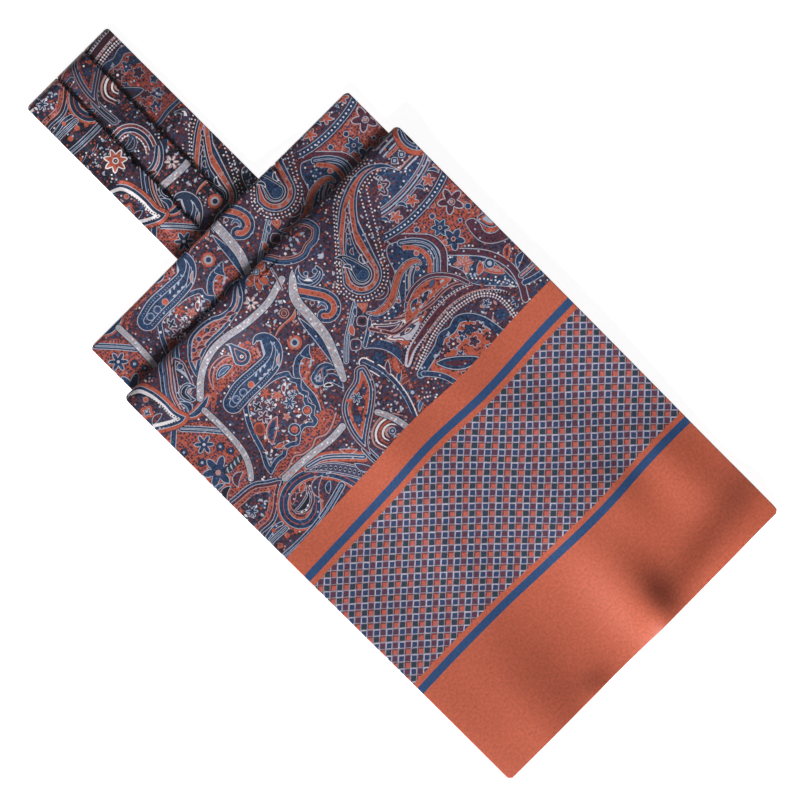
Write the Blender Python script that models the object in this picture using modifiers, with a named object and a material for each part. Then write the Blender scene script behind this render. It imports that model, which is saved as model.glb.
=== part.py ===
"""Silk cravat, folded flat: two wide blades turned back over a pleated neckband.

The neckband lies on the surface, folded in half. The rear blade is folded over it, and the front
blade is folded over both and runs down to its plain end. The layers that nothing shows share one
rounded solid. Sizes are in millimetres, and MM turns them into metres.

X runs across the blades and +Y towards the neckband's fold. The origin is under the middle.
"""

import math

import bmesh
import bpy
from mathutils import Vector

MM = 0.001

# The whole folded cravat, the walls of its cloth and the gap between pieces.
LENGTH = 329.4
END_Y = LENGTH / 2
BLADE_END_Y = 0.2 - END_Y
BLADE_CLOTH = 1.2
REAR_CLOTH = 1.0
BAND_CLOTH = 1.0
GAP = 0.3

# Neckband: the half that lies below, and the knife pleats of the half that shows.
BAND_WIDTH = 46.0
BAND_BACK_THICKNESS = 1.2
BAND_BACK_END_Y = END_Y - 6.2
BAND_BASE = BAND_BACK_THICKNESS + GAP
BAND_CORNER = 1.8
BAND_TURN_DEGREES = 85.0
PLEAT_RISE = BAND_CLOTH + 0.25
PLEAT_DEPTH = 6.0
PLEAT_CLEAR = 1.6
PLEAT_SHOULDER = 3.0
PLEAT_LAST_X = -19.0
BAND_TOP = BAND_BASE + 2 * PLEAT_RISE + BAND_CLOTH
PLEATS = (
    # x of the fold at the neckband's end, x where the rear blade covers it
    (9.6, 7.9),
    (-5.8, -8.0),
)

# Rear blade: only its fold shows, between the neckband and the front blade.
REAR_WIDTH = 146.2
REAR_FOLD_Y = 78.1
REAR_ROLL = 2.8
REAR_LIFT = BAND_TOP + GAP

# Front blade: its fold is rounder, and less so in the middle, where it lies highest.
FRONT_WIDTH = 155.0
FRONT_END_WIDTH = 153.4
FRONT_FOLD_Y = 54.1
FRONT_ROLL = 5.5
FRONT_ROLL_MIDDLE = 4.2
FRONT_ROLL_DEPTH = 3.2
BLADE_CORNER = 2.0

# The blades rise over the neckband: fully inside the first half width, not at all past the second.
HUMP_INNER = 15.0
HUMP_OUTER = 50.0

# Height of the front blade's face below its fold, at the sides and added in the middle.
FRONT_HEIGHTS = (
    # y, side, middle_extra
    (30.0, 6.8, 4.2),
    (0.0, 5.6, 3.5),
    (-40.0, 4.9, 2.4),
    (-70.0, 4.2, 1.1),
    (-100.0, 3.2, 0.3),
    (-128.0, 2.0, 0.0),
    (-146.0, 1.5, 0.0),
    (BLADE_END_Y, 1.3, 0.0),
)

# Soft waves of the plain end: the middle, half length and half width of each crest, and its turn.
WAVES = (
    # x, y, half_length, half_width, turn_degrees, height
    (46.0, -164.0, 36.0, 8.0, -9.0, 2.6),
    (8.0, -133.0, 26.0, 9.0, 28.0, 2.2),
    (-38.0, -160.0, 30.0, 9.0, 34.0, 2.6),
    (-60.0, -136.0, 16.0, 9.0, 60.0, 1.2),
    (62.0, -128.0, 16.0, 8.0, -30.0, 0.9),
)

# Hidden layers, from the surface up. The front blade's own tail is wider and ends at its turn.
TAIL_Y = 33.0
CORE_FRONT_Y = TAIL_Y - GAP
CORE_END_Y = -126.0
CORE_TURN_Y = -62.0
CORE_TURN_LENGTH = 12.0
CORE_GROOVE = 1.4
CORE_CLEAR = BLADE_CLOTH + 0.4
CORE_END_THICKNESS = 0.5
CORE_TOP_STEPS = 16
CORE_LAYERS = (
    # half_width above the turn, half_width past it
    (71.6, 71.6),
    (72.4, 72.4),
    (75.4, 71.9),
)

SILK_ROUGHNESS = 0.45
COLOURS = {
    "front_blade": (0.52, 0.13, 0.07, 1.0),
    "rear_blade": (0.11, 0.08, 0.15, 1.0),
    "neckband": (0.16, 0.07, 0.09, 1.0),
    "neckband_back": (0.05, 0.08, 0.19, 1.0),
    "folded_layers": (0.20, 0.20, 0.26, 1.0),
}


def smooth_step(low, high, value):
    """0 at low, 1 at high, with a smooth start and end."""
    share = min(max((value - low) / (high - low), 0.0), 1.0)
    return share * share * (3.0 - 2.0 * share)


def mix(first, second, share):
    """The value at a share of the way from first to second."""
    return first + (second - first) * share


def spread(first, last, count):
    """Even steps from first to last, both among them."""
    return [mix(first, last, index / count) for index in range(count + 1)]


def table_curve(table, column, position):
    """A smooth curve through one column of a table whose first column falls."""
    row = 0
    while row < len(table) - 2 and position < table[row + 1][0]:
        row += 1
    before, start = table[max(row - 1, 0)], table[row]
    end, after = table[row + 1], table[min(row + 2, len(table) - 1)]
    run = end[0] - start[0]
    share = min(max((position - start[0]) / run, 0.0), 1.0)
    leaving = run * (end[column] - before[column]) / (end[0] - before[0])
    arriving = run * (after[column] - start[column]) / (after[0] - start[0])
    square, cube = share ** 2, share ** 3
    return (
        (2 * cube - 3 * square + 1) * start[column]
        + (cube - 2 * square + share) * leaving
        + (3 * square - 2 * cube) * end[column]
        + (cube - square) * arriving
    )


def hump(x):
    """Share of the neckband's height that the blades over it take at x."""
    return 1.0 - smooth_step(HUMP_INNER, HUMP_OUTER, abs(x))


def rear_under(x):
    """Height of the rear blade's lower face."""
    return REAR_LIFT * hump(x)


def rear_over(x, y=REAR_FOLD_Y):
    """Height of the rear blade's upper face, the same along its whole fold."""
    return rear_under(x) + REAR_ROLL


def front_under(x):
    """Height of the lower face of the front blade's tail."""
    return rear_over(x) + GAP


def front_roll(x):
    """Height of the front blade's fold."""
    return mix(FRONT_ROLL, FRONT_ROLL_MIDDLE, hump(x))


def wave_height(x, y):
    """Height that the soft waves add to the plain end."""
    total = 0.0
    for crest_x, crest_y, half_length, half_width, turn, height in WAVES:
        cosine, sine = math.cos(math.radians(turn)), math.sin(math.radians(turn))
        along = (x - crest_x) * cosine + (y - crest_y) * sine
        across = (y - crest_y) * cosine - (x - crest_x) * sine
        total += height * math.exp(-((along / half_length) ** 2) - (across / half_width) ** 2)
    return total


def front_over(x, y):
    """Height of the front blade's upper face."""
    at_fold = (
        FRONT_FOLD_Y - FRONT_ROLL_DEPTH,
        REAR_ROLL + GAP + FRONT_ROLL,
        REAR_LIFT + FRONT_ROLL_MIDDLE - FRONT_ROLL,
    )
    heights = (at_fold,) + FRONT_HEIGHTS
    return table_curve(heights, 1, y) + table_curve(heights, 2, y) * hump(x) + wave_height(x, y)


def blade_stations(centre_y, over_rows):
    """Stations along a blade: its tail below, the turn of its fold, and the rows of its face."""
    tail = [("under", y) for y in spread(TAIL_Y, centre_y, 3)]
    turn = [("turn", angle) for angle in spread(-90.0, 90.0, 10)][1:]
    return tail + turn + [("over", y) for y in over_rows]


def blade_point(x, station, fold_y, depth, under, roll, over):
    """A point of a folded blade's outer face."""
    kind, value = station
    if kind == "under":
        return x, value, under
    if kind == "over":
        return x, value, over(x, value)
    angle = math.radians(value)
    half_roll = roll / 2
    return x, fold_y + depth * (math.cos(angle) - 1.0), under + half_roll * (1.0 + math.sin(angle))


def corner_cut(station, corner):
    """How far a blade's side stands in at its fold, so that its corners are round."""
    kind, value = station
    return corner * (1.0 - abs(math.sin(math.radians(value)))) ** 2 if kind == "turn" else 0.0


def front_point(share, station):
    """A point of the front blade's outer face, from its +X side at 0 to its -X side at 1."""
    kind, value = station
    width = FRONT_WIDTH
    if kind == "over":
        width = mix(FRONT_WIDTH, FRONT_END_WIDTH, smooth_step(FRONT_FOLD_Y, BLADE_END_Y, value))
    x = (0.5 - share) * (width - 2 * corner_cut(station, BLADE_CORNER))
    return blade_point(
        x, station, FRONT_FOLD_Y, FRONT_ROLL_DEPTH, front_under(x), front_roll(x), front_over
    )


def rear_point(share, station):
    """A point of the rear blade's outer face, from its +X side at 0 to its -X side at 1."""
    x = (0.5 - share) * (REAR_WIDTH - 2 * corner_cut(station, BLADE_CORNER))
    return blade_point(
        x, station, REAR_FOLD_Y, REAR_ROLL / 2, rear_under(x), REAR_ROLL, rear_over
    )


def pleat_spans(y):
    """Each pleat at y: the x of its fold, of its hidden turn and of the start and end of its fall."""
    share = (END_Y - y) / (END_Y - REAR_FOLD_Y)
    folds = [mix(at_end, at_flap, share) for at_end, at_flap in PLEATS]
    ends = folds[1:] + [PLEAT_LAST_X]
    return [
        (fold_x, fold_x - PLEAT_DEPTH, fold_x - PLEAT_DEPTH - PLEAT_CLEAR, end_x)
        for fold_x, end_x in zip(folds, ends)
    ]


def turn_points(centre_x, centre_level, side):
    """A cloth's half turn, up on the level above. side is -1 for a turn at its left."""
    radius = PLEAT_RISE / 2
    return [
        (
            centre_x + side * radius * math.cos(math.radians(angle)),
            centre_level + radius * math.sin(math.radians(angle)),
        )
        for angle in spread(-90.0, 90.0, 6)
    ]


def band_section(y):
    """The middle of the pleated cloth across the neckband, as x and level, from +X to -X.

    Each knife pleat goes under the next strip, turns up, comes back and turns up again at its
    fold, and the strip then falls to the first level.
    """
    spans = pleat_spans(y)
    points = [(x, 0.0) for x in spread(BAND_WIDTH / 2, spans[0][0] + PLEAT_CLEAR, 2)]
    for fold_x, hidden_x, clear_x, end_x in spans:
        fold_centre_x = fold_x - (PLEAT_RISE + BAND_CLOTH) / 2
        points += turn_points(hidden_x, PLEAT_RISE / 2, -1)
        points += turn_points(fold_centre_x, 1.5 * PLEAT_RISE, 1)
        points += [(x, fall_level(x, clear_x, end_x)) for x in spread(clear_x, end_x, 5)]
    points.append((-BAND_WIDTH / 2, 0.0))
    return points


def fall_level(x, clear_x, end_x):
    """The level of a strip that falls from a pleat's top at clear_x to the first level at end_x."""
    return 2 * PLEAT_RISE * smooth_step(end_x, clear_x, x)


def band_top_level(x, y):
    """The level of the neckband's uppermost layer, softened beside each pleat's fold."""
    return max(
        min(
            fall_level(x, clear_x, end_x),
            2 * PLEAT_RISE * (1.0 - smooth_step(fold_x, fold_x + PLEAT_SHOULDER, x)),
        )
        for fold_x, hidden_x, clear_x, end_x in pleat_spans(y)
    )


def band_point(share, station):
    """A point of the middle of the neckband's wall: along its face, then down over its end."""
    kind, value = station
    y = value if kind == "along" else END_Y
    section = band_section(y)
    x, level = section[round(share * (len(section) - 1))]
    height = BAND_BASE + BAND_CLOTH / 2 + level
    reach = BAND_BASE + BAND_CLOTH + band_top_level(x, END_Y)
    if kind == "along":
        return x, value if value < END_Y else END_Y - reach, height
    angle = math.radians(value)
    x *= 1.0 - 2 * BAND_CORNER / BAND_WIDTH * (math.sin(angle) ** 4)
    return x, END_Y - reach + height * math.sin(angle), height * math.cos(angle)


def new_material(name):
    """Silk in the piece's main colour."""
    material = bpy.data.materials.new(name)
    material.use_nodes = True
    shader = material.node_tree.nodes["Principled BSDF"]
    shader.inputs["Base Color"].default_value = COLOURS[name]
    shader.inputs["Roughness"].default_value = SILK_ROUGHNESS
    shader.inputs["Metallic"].default_value = 0.0
    return material


def add_piece(name, shape, collection):
    """Turn a finished bmesh into a named object with its own material."""
    mesh = bpy.data.meshes.new(name)
    shape.to_mesh(mesh)
    shape.free()
    mesh.materials.append(new_material(name))
    piece = bpy.data.objects.new(name, mesh)
    collection.objects.link(piece)
    return piece


def add_cloth(name, columns, stations, place, thickness, offset, collection):
    """A cloth wall: a grid whose points place() moves to the cloth, made solid.

    place() takes the share of the way across and one of the stations. It gives the wall's outer
    face where offset is -1, and the middle of the wall where it is 0.
    """
    rows = len(stations) - 1
    grid = bmesh.new()
    bmesh.ops.create_grid(grid, x_segments=columns, y_segments=rows, size=0.5)
    for vertex in grid.verts:
        station = stations[round((vertex.co.y + 0.5) * rows)]
        vertex.co = Vector(place(vertex.co.x + 0.5, station)) * MM
    piece = add_piece(name, grid, collection)
    piece.data.shade_smooth()
    wall = piece.modifiers.new("Wall", "SOLIDIFY")
    wall.thickness = thickness * MM
    wall.offset = offset
    wall.use_even_offset = True


def add_front_blade(collection):
    """The front blade: its tail, its fold and its face down to the plain end."""
    centre_y = FRONT_FOLD_Y - FRONT_ROLL_DEPTH
    rows = [42.0, 33.0, 20.0, 5.0, -10.0, -30.0, -50.0, -65.0, -80.0, -95.0]
    rows += spread(-105.0, BLADE_END_Y, 14)
    add_cloth("front_blade", 26, blade_stations(centre_y, rows), front_point, BLADE_CLOTH, -1.0,
              collection)


def add_rear_blade(collection):
    """The fold of the rear blade, up to where the hidden layers begin."""
    centre_y = REAR_FOLD_Y - REAR_ROLL / 2
    stations = blade_stations(centre_y, spread(68.0, TAIL_Y, 4))
    add_cloth("rear_blade", 24, stations, rear_point, REAR_CLOTH, -1.0, collection)


def add_neckband(collection):
    """The half of the neckband that shows, with its pleats, turned down over its end."""
    along = [("along", y) for y in (TAIL_Y, 55.0, REAR_FOLD_Y, 100.0, 122.0, 144.0, END_Y)]
    turn = [("turn", angle) for angle in spread(0.0, BAND_TURN_DEGREES, 6)][1:]
    columns = len(band_section(END_Y)) - 1
    add_cloth("neckband", columns, along + turn, band_point, BAND_CLOTH, 0.0, collection)


def add_neckband_back(collection):
    """The half of the neckband that lies below, a flat wall with rounded edges."""
    size = (BAND_WIDTH - 0.8, BAND_BACK_END_Y - TAIL_Y, BAND_BACK_THICKNESS)
    block = bmesh.new()
    bmesh.ops.create_cube(block, size=1.0)
    bmesh.ops.scale(block, vec=Vector(size) * MM, verts=block.verts)
    middle = Vector((0.0, (BAND_BACK_END_Y + TAIL_Y) / 2, BAND_BACK_THICKNESS / 2)) * MM
    bmesh.ops.translate(block, vec=middle, verts=block.verts)
    piece = add_piece("neckband_back", block, collection)
    edge = piece.modifiers.new("Rounded edges", "BEVEL")
    edge.width = 0.4 * MM
    edge.segments = 2


def core_ring(y):
    """The outline of the hidden layers across the cravat at y, as x and z, once round."""
    taper = smooth_step(CORE_END_Y, CORE_END_Y + 20.0, y)
    past_turn = smooth_step(CORE_TURN_Y + CORE_TURN_LENGTH, CORE_TURN_Y, y)
    half_widths = [mix(above, below, past_turn) for above, below in CORE_LAYERS]
    inner = half_widths[0] - CORE_GROOVE

    def top(x):
        return max((front_over(x, y) - wave_height(x, y) - CORE_CLEAR) * taper, CORE_END_THICKNESS)

    layer = top(inner) / len(CORE_LAYERS)
    side = [(inner, 0.0)]
    for index, half_width in enumerate(half_widths):
        bottom = index * layer
        side += [
            (half_width - 0.4, bottom + 0.2 * layer),
            (half_width, bottom + 0.5 * layer),
            (half_width - 0.4, bottom + 0.8 * layer),
            (inner, bottom + layer),
        ]
    crown = [(x, top(x)) for x in spread(inner, -inner, CORE_TOP_STEPS)][1:-1]
    return side + crown + [(-x, z) for x, z in reversed(side)]


def add_folded_layers(collection):
    """The layers that nothing shows, as one rounded solid with a layered rim and a flat base."""
    ys = [CORE_FRONT_Y, 15.0, -5.0, -25.0, -45.0, -50.0, -54.0, -58.0, -62.0, -75.0, -90.0, -106.0]
    ys += [-114.0, -120.0, CORE_END_Y]
    shape = bmesh.new()
    rings = []
    for y in ys:
        rings.append([shape.verts.new(Vector((x, y, z)) * MM) for x, z in core_ring(y)])
    for ring, following in zip(rings, rings[1:]):
        for index in range(len(ring)):
            following_index = (index + 1) % len(ring)
            corners = (ring[index], ring[following_index], following[following_index], following[index])
            shape.faces.new(corners)
    shape.faces.new(rings[0])
    shape.faces.new(reversed(rings[-1]))
    bmesh.ops.recalc_face_normals(shape, faces=shape.faces)
    add_piece("folded_layers", shape, collection)


def build():
    """Clear the scene and build every piece."""
    for item in list(bpy.data.objects):
        bpy.data.objects.remove(item, do_unlink=True)
    collection = bpy.data.collections.new("silk_cravat")
    bpy.context.scene.collection.children.link(collection)
    add_neckband_back(collection)
    add_neckband(collection)
    add_rear_blade(collection)
    add_folded_layers(collection)
    add_front_blade(collection)


build()
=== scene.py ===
"""Looks of the silk cravat, folded flat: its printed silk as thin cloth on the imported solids.

Every piece of cloth is a flat panel first. Its outline, a grid of free points and the shapes of its
print are triangulated together, so that the print is part of the mesh, and place() then lays each
point of the panel on the folded form. The paisley is drawn once, as one repeat, and each piece
shows its own stretch of it. Sizes are in millimetres, and MM turns them into metres.

X runs across the blades, +Y towards the neckband's fold, and Z is up.
"""

import math

import bpy
import numpy as np
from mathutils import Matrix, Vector
from mathutils.geometry import delaunay_2d_cdt

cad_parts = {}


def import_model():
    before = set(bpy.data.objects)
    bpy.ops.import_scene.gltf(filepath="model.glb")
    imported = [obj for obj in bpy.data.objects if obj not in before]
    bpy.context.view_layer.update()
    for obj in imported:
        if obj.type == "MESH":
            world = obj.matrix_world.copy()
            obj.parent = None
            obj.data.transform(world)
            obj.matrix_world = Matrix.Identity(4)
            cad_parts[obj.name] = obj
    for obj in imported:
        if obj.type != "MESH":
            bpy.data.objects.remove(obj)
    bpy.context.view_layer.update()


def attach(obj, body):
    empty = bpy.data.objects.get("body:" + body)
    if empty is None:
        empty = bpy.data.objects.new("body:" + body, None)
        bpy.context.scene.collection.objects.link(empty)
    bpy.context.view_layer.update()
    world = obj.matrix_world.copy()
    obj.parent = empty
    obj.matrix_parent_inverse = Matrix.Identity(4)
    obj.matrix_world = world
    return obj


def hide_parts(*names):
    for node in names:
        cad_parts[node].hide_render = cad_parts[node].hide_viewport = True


MM = 0.001

# ---------------------------------------------------------------- sizes of the folded form

# The driving sizes that the solids have too.
END_Y = 164.7
BLADE_END_Y = 0.2 - END_Y
GAP = 0.3
BAND_WIDTH = 46.0
BAND_BACK_THICKNESS = 1.2
PLEAT_DEPTH = 6.0
PLEAT_CLEAR = 1.6
PLEAT_LAST_X = -19.0
PLEATS = (
    # x of the fold at the neckband's end, x where the rear blade covers it
    (9.6, 7.9),
    (-5.8, -8.0),
)
REAR_WIDTH = 146.2
REAR_FOLD_Y = 78.1
REAR_ROLL = 2.8
FRONT_WIDTH = 155.0
FRONT_END_WIDTH = 153.4
FRONT_FOLD_Y = 54.1
FRONT_ROLL = 5.5
FRONT_ROLL_MIDDLE = 4.2
BLADE_CORNER = 2.0
HUMP_INNER = 15.0
HUMP_OUTER = 50.0
TAIL_Y = 33.0
CORE_FRONT_Y = TAIL_Y - GAP
CORE_END_Y = -126.0
CORE_TURN_Y = -62.0
CORE_TURN_LENGTH = 12.0
CORE_CLEAR = 1.6
CORE_END_THICKNESS = 0.5
CORE_LAYERS = (
    # half_width, half_width_below_the_turn
    (71.6, 71.6),
    (72.4, 72.4),
    (75.4, 71.9),
)

# The silk is thinner than the solids, so it has its own thicknesses, gaps and folds.
SILK = 0.8
BAND_CLOTH = 0.5
BAND_GAP = 0.9
BAND_BASE = BAND_BACK_THICKNESS + BAND_GAP
BAND_BACK_INSET = 0.4
BAND_BACK_SHORT = 3.7
BAND_BACK_END_Y = END_Y - BAND_BACK_SHORT
PLEAT_GAP = 0.12
PLEAT_RISE = BAND_CLOTH + PLEAT_GAP
PLEAT_SHOULDER = 0.4
REAR_LIFT = 5.3
REAR_TILT = 0.04
FRONT_ROLL_DEPTH = 4.8
END_CORNER = 1.2
CORE_TAPER = 20.0
LAYER_GAP = 0.08
RIM_STEPS = 4
FOLDS = {
    # blade: y of its fold, depth of the turn along y, height of the turn
    "front": (FRONT_FOLD_Y, FRONT_ROLL_DEPTH, FRONT_ROLL),
    "rear": (REAR_FOLD_Y, REAR_ROLL / 2, REAR_ROLL),
}

# The front blade's face: its height down the blade, and the soft crests that lie on it.
FRONT_HEIGHTS = (
    # y, side, middle_extra
    (30.0, 6.8, 4.2),
    (0.0, 5.6, 2.8),
    (-40.0, 4.9, 1.2),
    (-70.0, 4.2, 0.4),
    (-100.0, 3.2, 0.1),
    (-128.0, 2.0, 0.0),
    (-146.0, 1.5, 0.0),
    (BLADE_END_Y, 1.3, 0.0),
)
WAVES = (
    # x, y, half_length, half_width, turn_degrees, height
    (-50.0, -156.0, 40.0, 19.0, 88.0, 4.4),
    (-76.0, -154.0, 40.0, 15.0, 90.0, 2.6),
    (14.0, -135.0, 34.0, 15.0, 82.0, 5.0),
    (36.0, -117.0, 24.0, 13.5, 86.0, 4.0),
    (59.0, -122.0, 25.0, 13.0, 88.0, 3.2),
    (44.0, -159.5, 36.0, 11.0, 15.0, 7.0),
    (12.0, -159.0, 15.0, 9.0, 76.0, 3.6),
    (-79.0, -70.0, 46.0, 16.0, 90.0, 1.1),
    (79.0, -62.0, 50.0, 20.0, 90.0, 1.6),
    (-27.0, -164.0, 8.0, 6.0, 20.0, 1.4),
    (-30.0, -84.0, 30.0, 9.0, 75.0, 0.7),
    (40.0, -78.0, 34.0, 8.0, -60.0, 0.6),
    (-14.0, -44.0, 30.0, 15.0, 92.0, 1.2),
    (0.0, 42.5, 240.0, 6.0, 0.0, 1.0),
)

# Points of a panel that are closer than this are one point.
MERGED = 1e-4


def smooth_step(low, high, value):
    """0 at low, 1 at high, with a smooth start and end."""
    share = np.clip((value - low) / (high - low), 0.0, 1.0)
    return share * share * (3.0 - 2.0 * share)


def mix(first, second, share):
    """The value at a share of the way from first to second."""
    return first + (second - first) * share


def table_curve(table, column, position):
    """A smooth curve through one column of a table whose first column falls."""
    rows = np.array(table)
    row = np.clip(np.searchsorted(-rows[:, 0], -position, side="right") - 1, 0, len(rows) - 2)
    before, start = rows[np.maximum(row - 1, 0)], rows[row]
    end, after = rows[row + 1], rows[np.minimum(row + 2, len(rows) - 1)]
    run = end[..., 0] - start[..., 0]
    share = np.clip((position - start[..., 0]) / run, 0.0, 1.0)
    leaving = run * (end[..., column] - before[..., column]) / (end[..., 0] - before[..., 0])
    arriving = run * (after[..., column] - start[..., column]) / (after[..., 0] - start[..., 0])
    square, cube = share ** 2, share ** 3
    return (
        (2 * cube - 3 * square + 1) * start[..., column]
        + (cube - 2 * square + share) * leaving
        + (3 * square - 2 * cube) * end[..., column]
        + (cube - square) * arriving
    )


def hump(x):
    """Share of the neckband's height that the blades over it take at x."""
    return 1.0 - smooth_step(HUMP_INNER, HUMP_OUTER, np.abs(x))


def rear_under(x):
    """Height of the rear blade's lower face."""
    return REAR_LIFT * hump(x)


def front_under(x):
    """Height of the lower face of the front blade's tail."""
    return rear_under(x) + REAR_ROLL + GAP


def front_roll(x):
    """Height of the front blade's fold."""
    return mix(FRONT_ROLL, FRONT_ROLL_MIDDLE, hump(x))


def crest_heights(crests, x, y):
    """Height that a table of soft crests adds at x and y."""
    total = np.zeros_like(x + y)
    for crest_x, crest_y, half_length, half_width, turn, height in crests:
        cosine, sine = math.cos(math.radians(turn)), math.sin(math.radians(turn))
        along = (x - crest_x) * cosine + (y - crest_y) * sine
        across = (y - crest_y) * cosine - (x - crest_x) * sine
        total += height * np.exp(-((along / half_length) ** 2) - (across / half_width) ** 2)
    return total


def front_over(x, y):
    """Height of the front blade's upper face."""
    at_fold = (
        fold_start("front")[0],
        REAR_ROLL + GAP + FRONT_ROLL,
        REAR_LIFT + FRONT_ROLL_MIDDLE - FRONT_ROLL,
    )
    heights = (at_fold,) + FRONT_HEIGHTS
    smooth = table_curve(heights, 1, y) + table_curve(heights, 2, y) * hump(x)
    return smooth + crest_heights(WAVES, x, y)


# ---------------------------------------------------------------- panels on the form


def fold_start(blade):
    """The y where a blade's fold starts to turn, and the length of the turn along the cloth."""
    fold_y, depth, roll = FOLDS[blade]
    return fold_y - depth, math.pi * (depth + roll / 2) / 2


def tail_end(blade):
    """How far along the cloth a blade's tail ends, under its face at TAIL_Y."""
    centre_y, length = fold_start(blade)
    return centre_y + length + centre_y - TAIL_Y


def fold_turn(blade, v):
    """y and share of the fold's height for a blade that turns under at its fold.

    v is the way along the cloth. The turn is half an ellipse, and the tail goes back below.
    """
    fold_y, depth, _ = FOLDS[blade]
    centre_y, length = fold_start(blade)
    angle = math.pi / 2 - math.pi * np.clip((v - centre_y) / length, 0.0, 1.0)
    beyond = np.maximum(v - centre_y - length, 0.0)
    y = np.where(v < centre_y, v, fold_y + depth * (np.cos(angle) - 1.0) - beyond)
    return y, (1.0 + np.sin(angle)) / 2


def fold_corner(blade, v):
    """How far the round corners of a blade's fold take in each side."""
    share = fold_turn(blade, v)[1]
    return BLADE_CORNER * (1.0 - np.abs(2 * share - 1.0)) ** 2


def place_front(u, v):
    """The front blade's outer face: its face, the turn of its fold and its tail below."""
    centre_y = fold_start("front")[0]
    y, share = fold_turn("front", v)
    over = front_over(u, np.minimum(y, centre_y))
    turned = front_under(u) + front_roll(u) * share
    return np.stack([u, y, np.where(v < centre_y, over, turned)], axis=-1)


def place_rear(u, v):
    """The rear blade's outer face: the part behind the front blade, its fold and its tail below."""
    y, share = fold_turn("rear", v)
    over = REAR_ROLL + REAR_TILT * np.maximum(y - FRONT_FOLD_Y, 0.0)
    return np.stack([u, y, rear_under(u) + over * share], axis=-1)


def normals_of(place, u, v, step=0.02):
    """Unit normals of a placed panel, and its unit tangents along u and v."""
    along_u = place(u + step, v) - place(u - step, v)
    along_v = place(u, v + step) - place(u, v - step)
    along_u /= np.linalg.norm(along_u, axis=-1, keepdims=True)
    along_v /= np.linalg.norm(along_v, axis=-1, keepdims=True)
    normal = np.cross(along_u, along_v)
    return normal / np.linalg.norm(normal, axis=-1, keepdims=True), along_u, along_v


# From +X the cloth goes under a pleat, turns back at its hidden edge, and turns again at its fold.
BAND_TURN = math.pi * PLEAT_RISE / 2
BAND_RETURN = PLEAT_DEPTH - (PLEAT_RISE + BAND_CLOTH) / 2
BAND_HIDDEN = 2 * BAND_TURN + BAND_RETURN

# Past a pleat, the cloth lies this much further to +X than its place across the flat cloth.
PLEAT_SHIFT = BAND_HIDDEN + BAND_RETURN

# The neckband's end: the height of its foot over the surface, its round corners in plan, and how
# much of its turn goes on past the foot.
BAND_FOOT = 0.4
BAND_CORNER = 1.6
BAND_BEYOND = 0.05


def pleat_folds(y):
    """The x of each pleat's fold at y, from +X to -X, and the x where the last strip's fall ends."""
    share = (END_Y - y) / (END_Y - REAR_FOLD_Y)
    return [mix(at_end, at_flap, share) for at_end, at_flap in PLEATS] + [PLEAT_LAST_X + 0 * y]


def fall_level(x, fold_x, end_x):
    """Level of a strip that falls from a pleat's top, beside fold_x, to the first level at end_x."""
    return 2 * PLEAT_RISE * smooth_step(end_x, fold_x - PLEAT_DEPTH - PLEAT_CLEAR, x)


def band_section(u, y):
    """x and level of the pleated cloth's middle, where u is the place across the flat cloth."""
    folds = pleat_folds(y)
    x = u
    level = np.zeros_like(u)
    for pleat in range(len(PLEATS)):
        fold_x, end_x = folds[pleat], folds[pleat + 1]
        hidden_x = fold_x - PLEAT_DEPTH
        past = hidden_x - pleat * PLEAT_SHIFT - u
        strip_x = u + (pleat + 1) * PLEAT_SHIFT
        x = np.where(past > BAND_HIDDEN, strip_x, x)
        level = np.where(past > BAND_HIDDEN, fall_level(strip_x, fold_x, end_x), level)
        for start, side, centre_x, base in (
            (0.0, -1, hidden_x, 0.0),
            (BAND_TURN + BAND_RETURN, 1, hidden_x + BAND_RETURN, PLEAT_RISE),
        ):
            angle = (past - start) / (PLEAT_RISE / 2) - math.pi / 2
            turning = (past > start) & (past <= start + BAND_TURN)
            x = np.where(turning, centre_x + side * PLEAT_RISE / 2 * np.cos(angle), x)
            level = np.where(turning, base + PLEAT_RISE / 2 * (1 + np.sin(angle)), level)
        back = (past > BAND_TURN) & (past <= BAND_TURN + BAND_RETURN)
        x = np.where(back, hidden_x + past - BAND_TURN, x)
        level = np.where(back, PLEAT_RISE, level)
    return x, level


def band_top_level(x):
    """Level of the neckband's uppermost layer at its end, softened beside each pleat's fold."""
    folds = pleat_folds(END_Y)
    tops = [
        np.minimum(
            fall_level(x, fold_x, end_x),
            2 * PLEAT_RISE * (1.0 - smooth_step(fold_x, fold_x + PLEAT_SHOULDER, x)),
        )
        for fold_x, end_x in zip(folds, folds[1:])
    ]
    return np.maximum.reduce(tops)


def band_end_v(u):
    """How far along the neckband its wall starts to turn down, and the height that it turns from."""
    x, level = band_section(u, END_Y + 0 * u)
    into_corner = np.clip((np.abs(x) - BAND_WIDTH / 2) / BAND_CORNER + 1.0, 0.0, 1.0)
    corner = BAND_CORNER * (1.0 - np.sqrt(1.0 - into_corner ** 2))
    start = END_Y - BAND_BASE - BAND_CLOTH - band_top_level(x) - corner
    return start, BAND_BASE + BAND_CLOTH / 2 + level


def place_band(u, v):
    """The outer face of the neckband's upper half, turned down over its end."""
    start, height_at_end = band_end_v(u)
    x, level = band_section(u, np.minimum(v, END_Y))
    height = np.where(v < start, BAND_BASE + BAND_CLOTH / 2 + level, height_at_end)
    angle = np.maximum((v - start) / height, 0.0)
    beyond = np.maximum(angle - np.arccos(BAND_FOOT / height), 0.0)
    angle -= beyond * (1.0 - BAND_BEYOND)
    return np.stack([x, np.minimum(v, start) + height * np.sin(angle), height * np.cos(angle)], -1)


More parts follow.
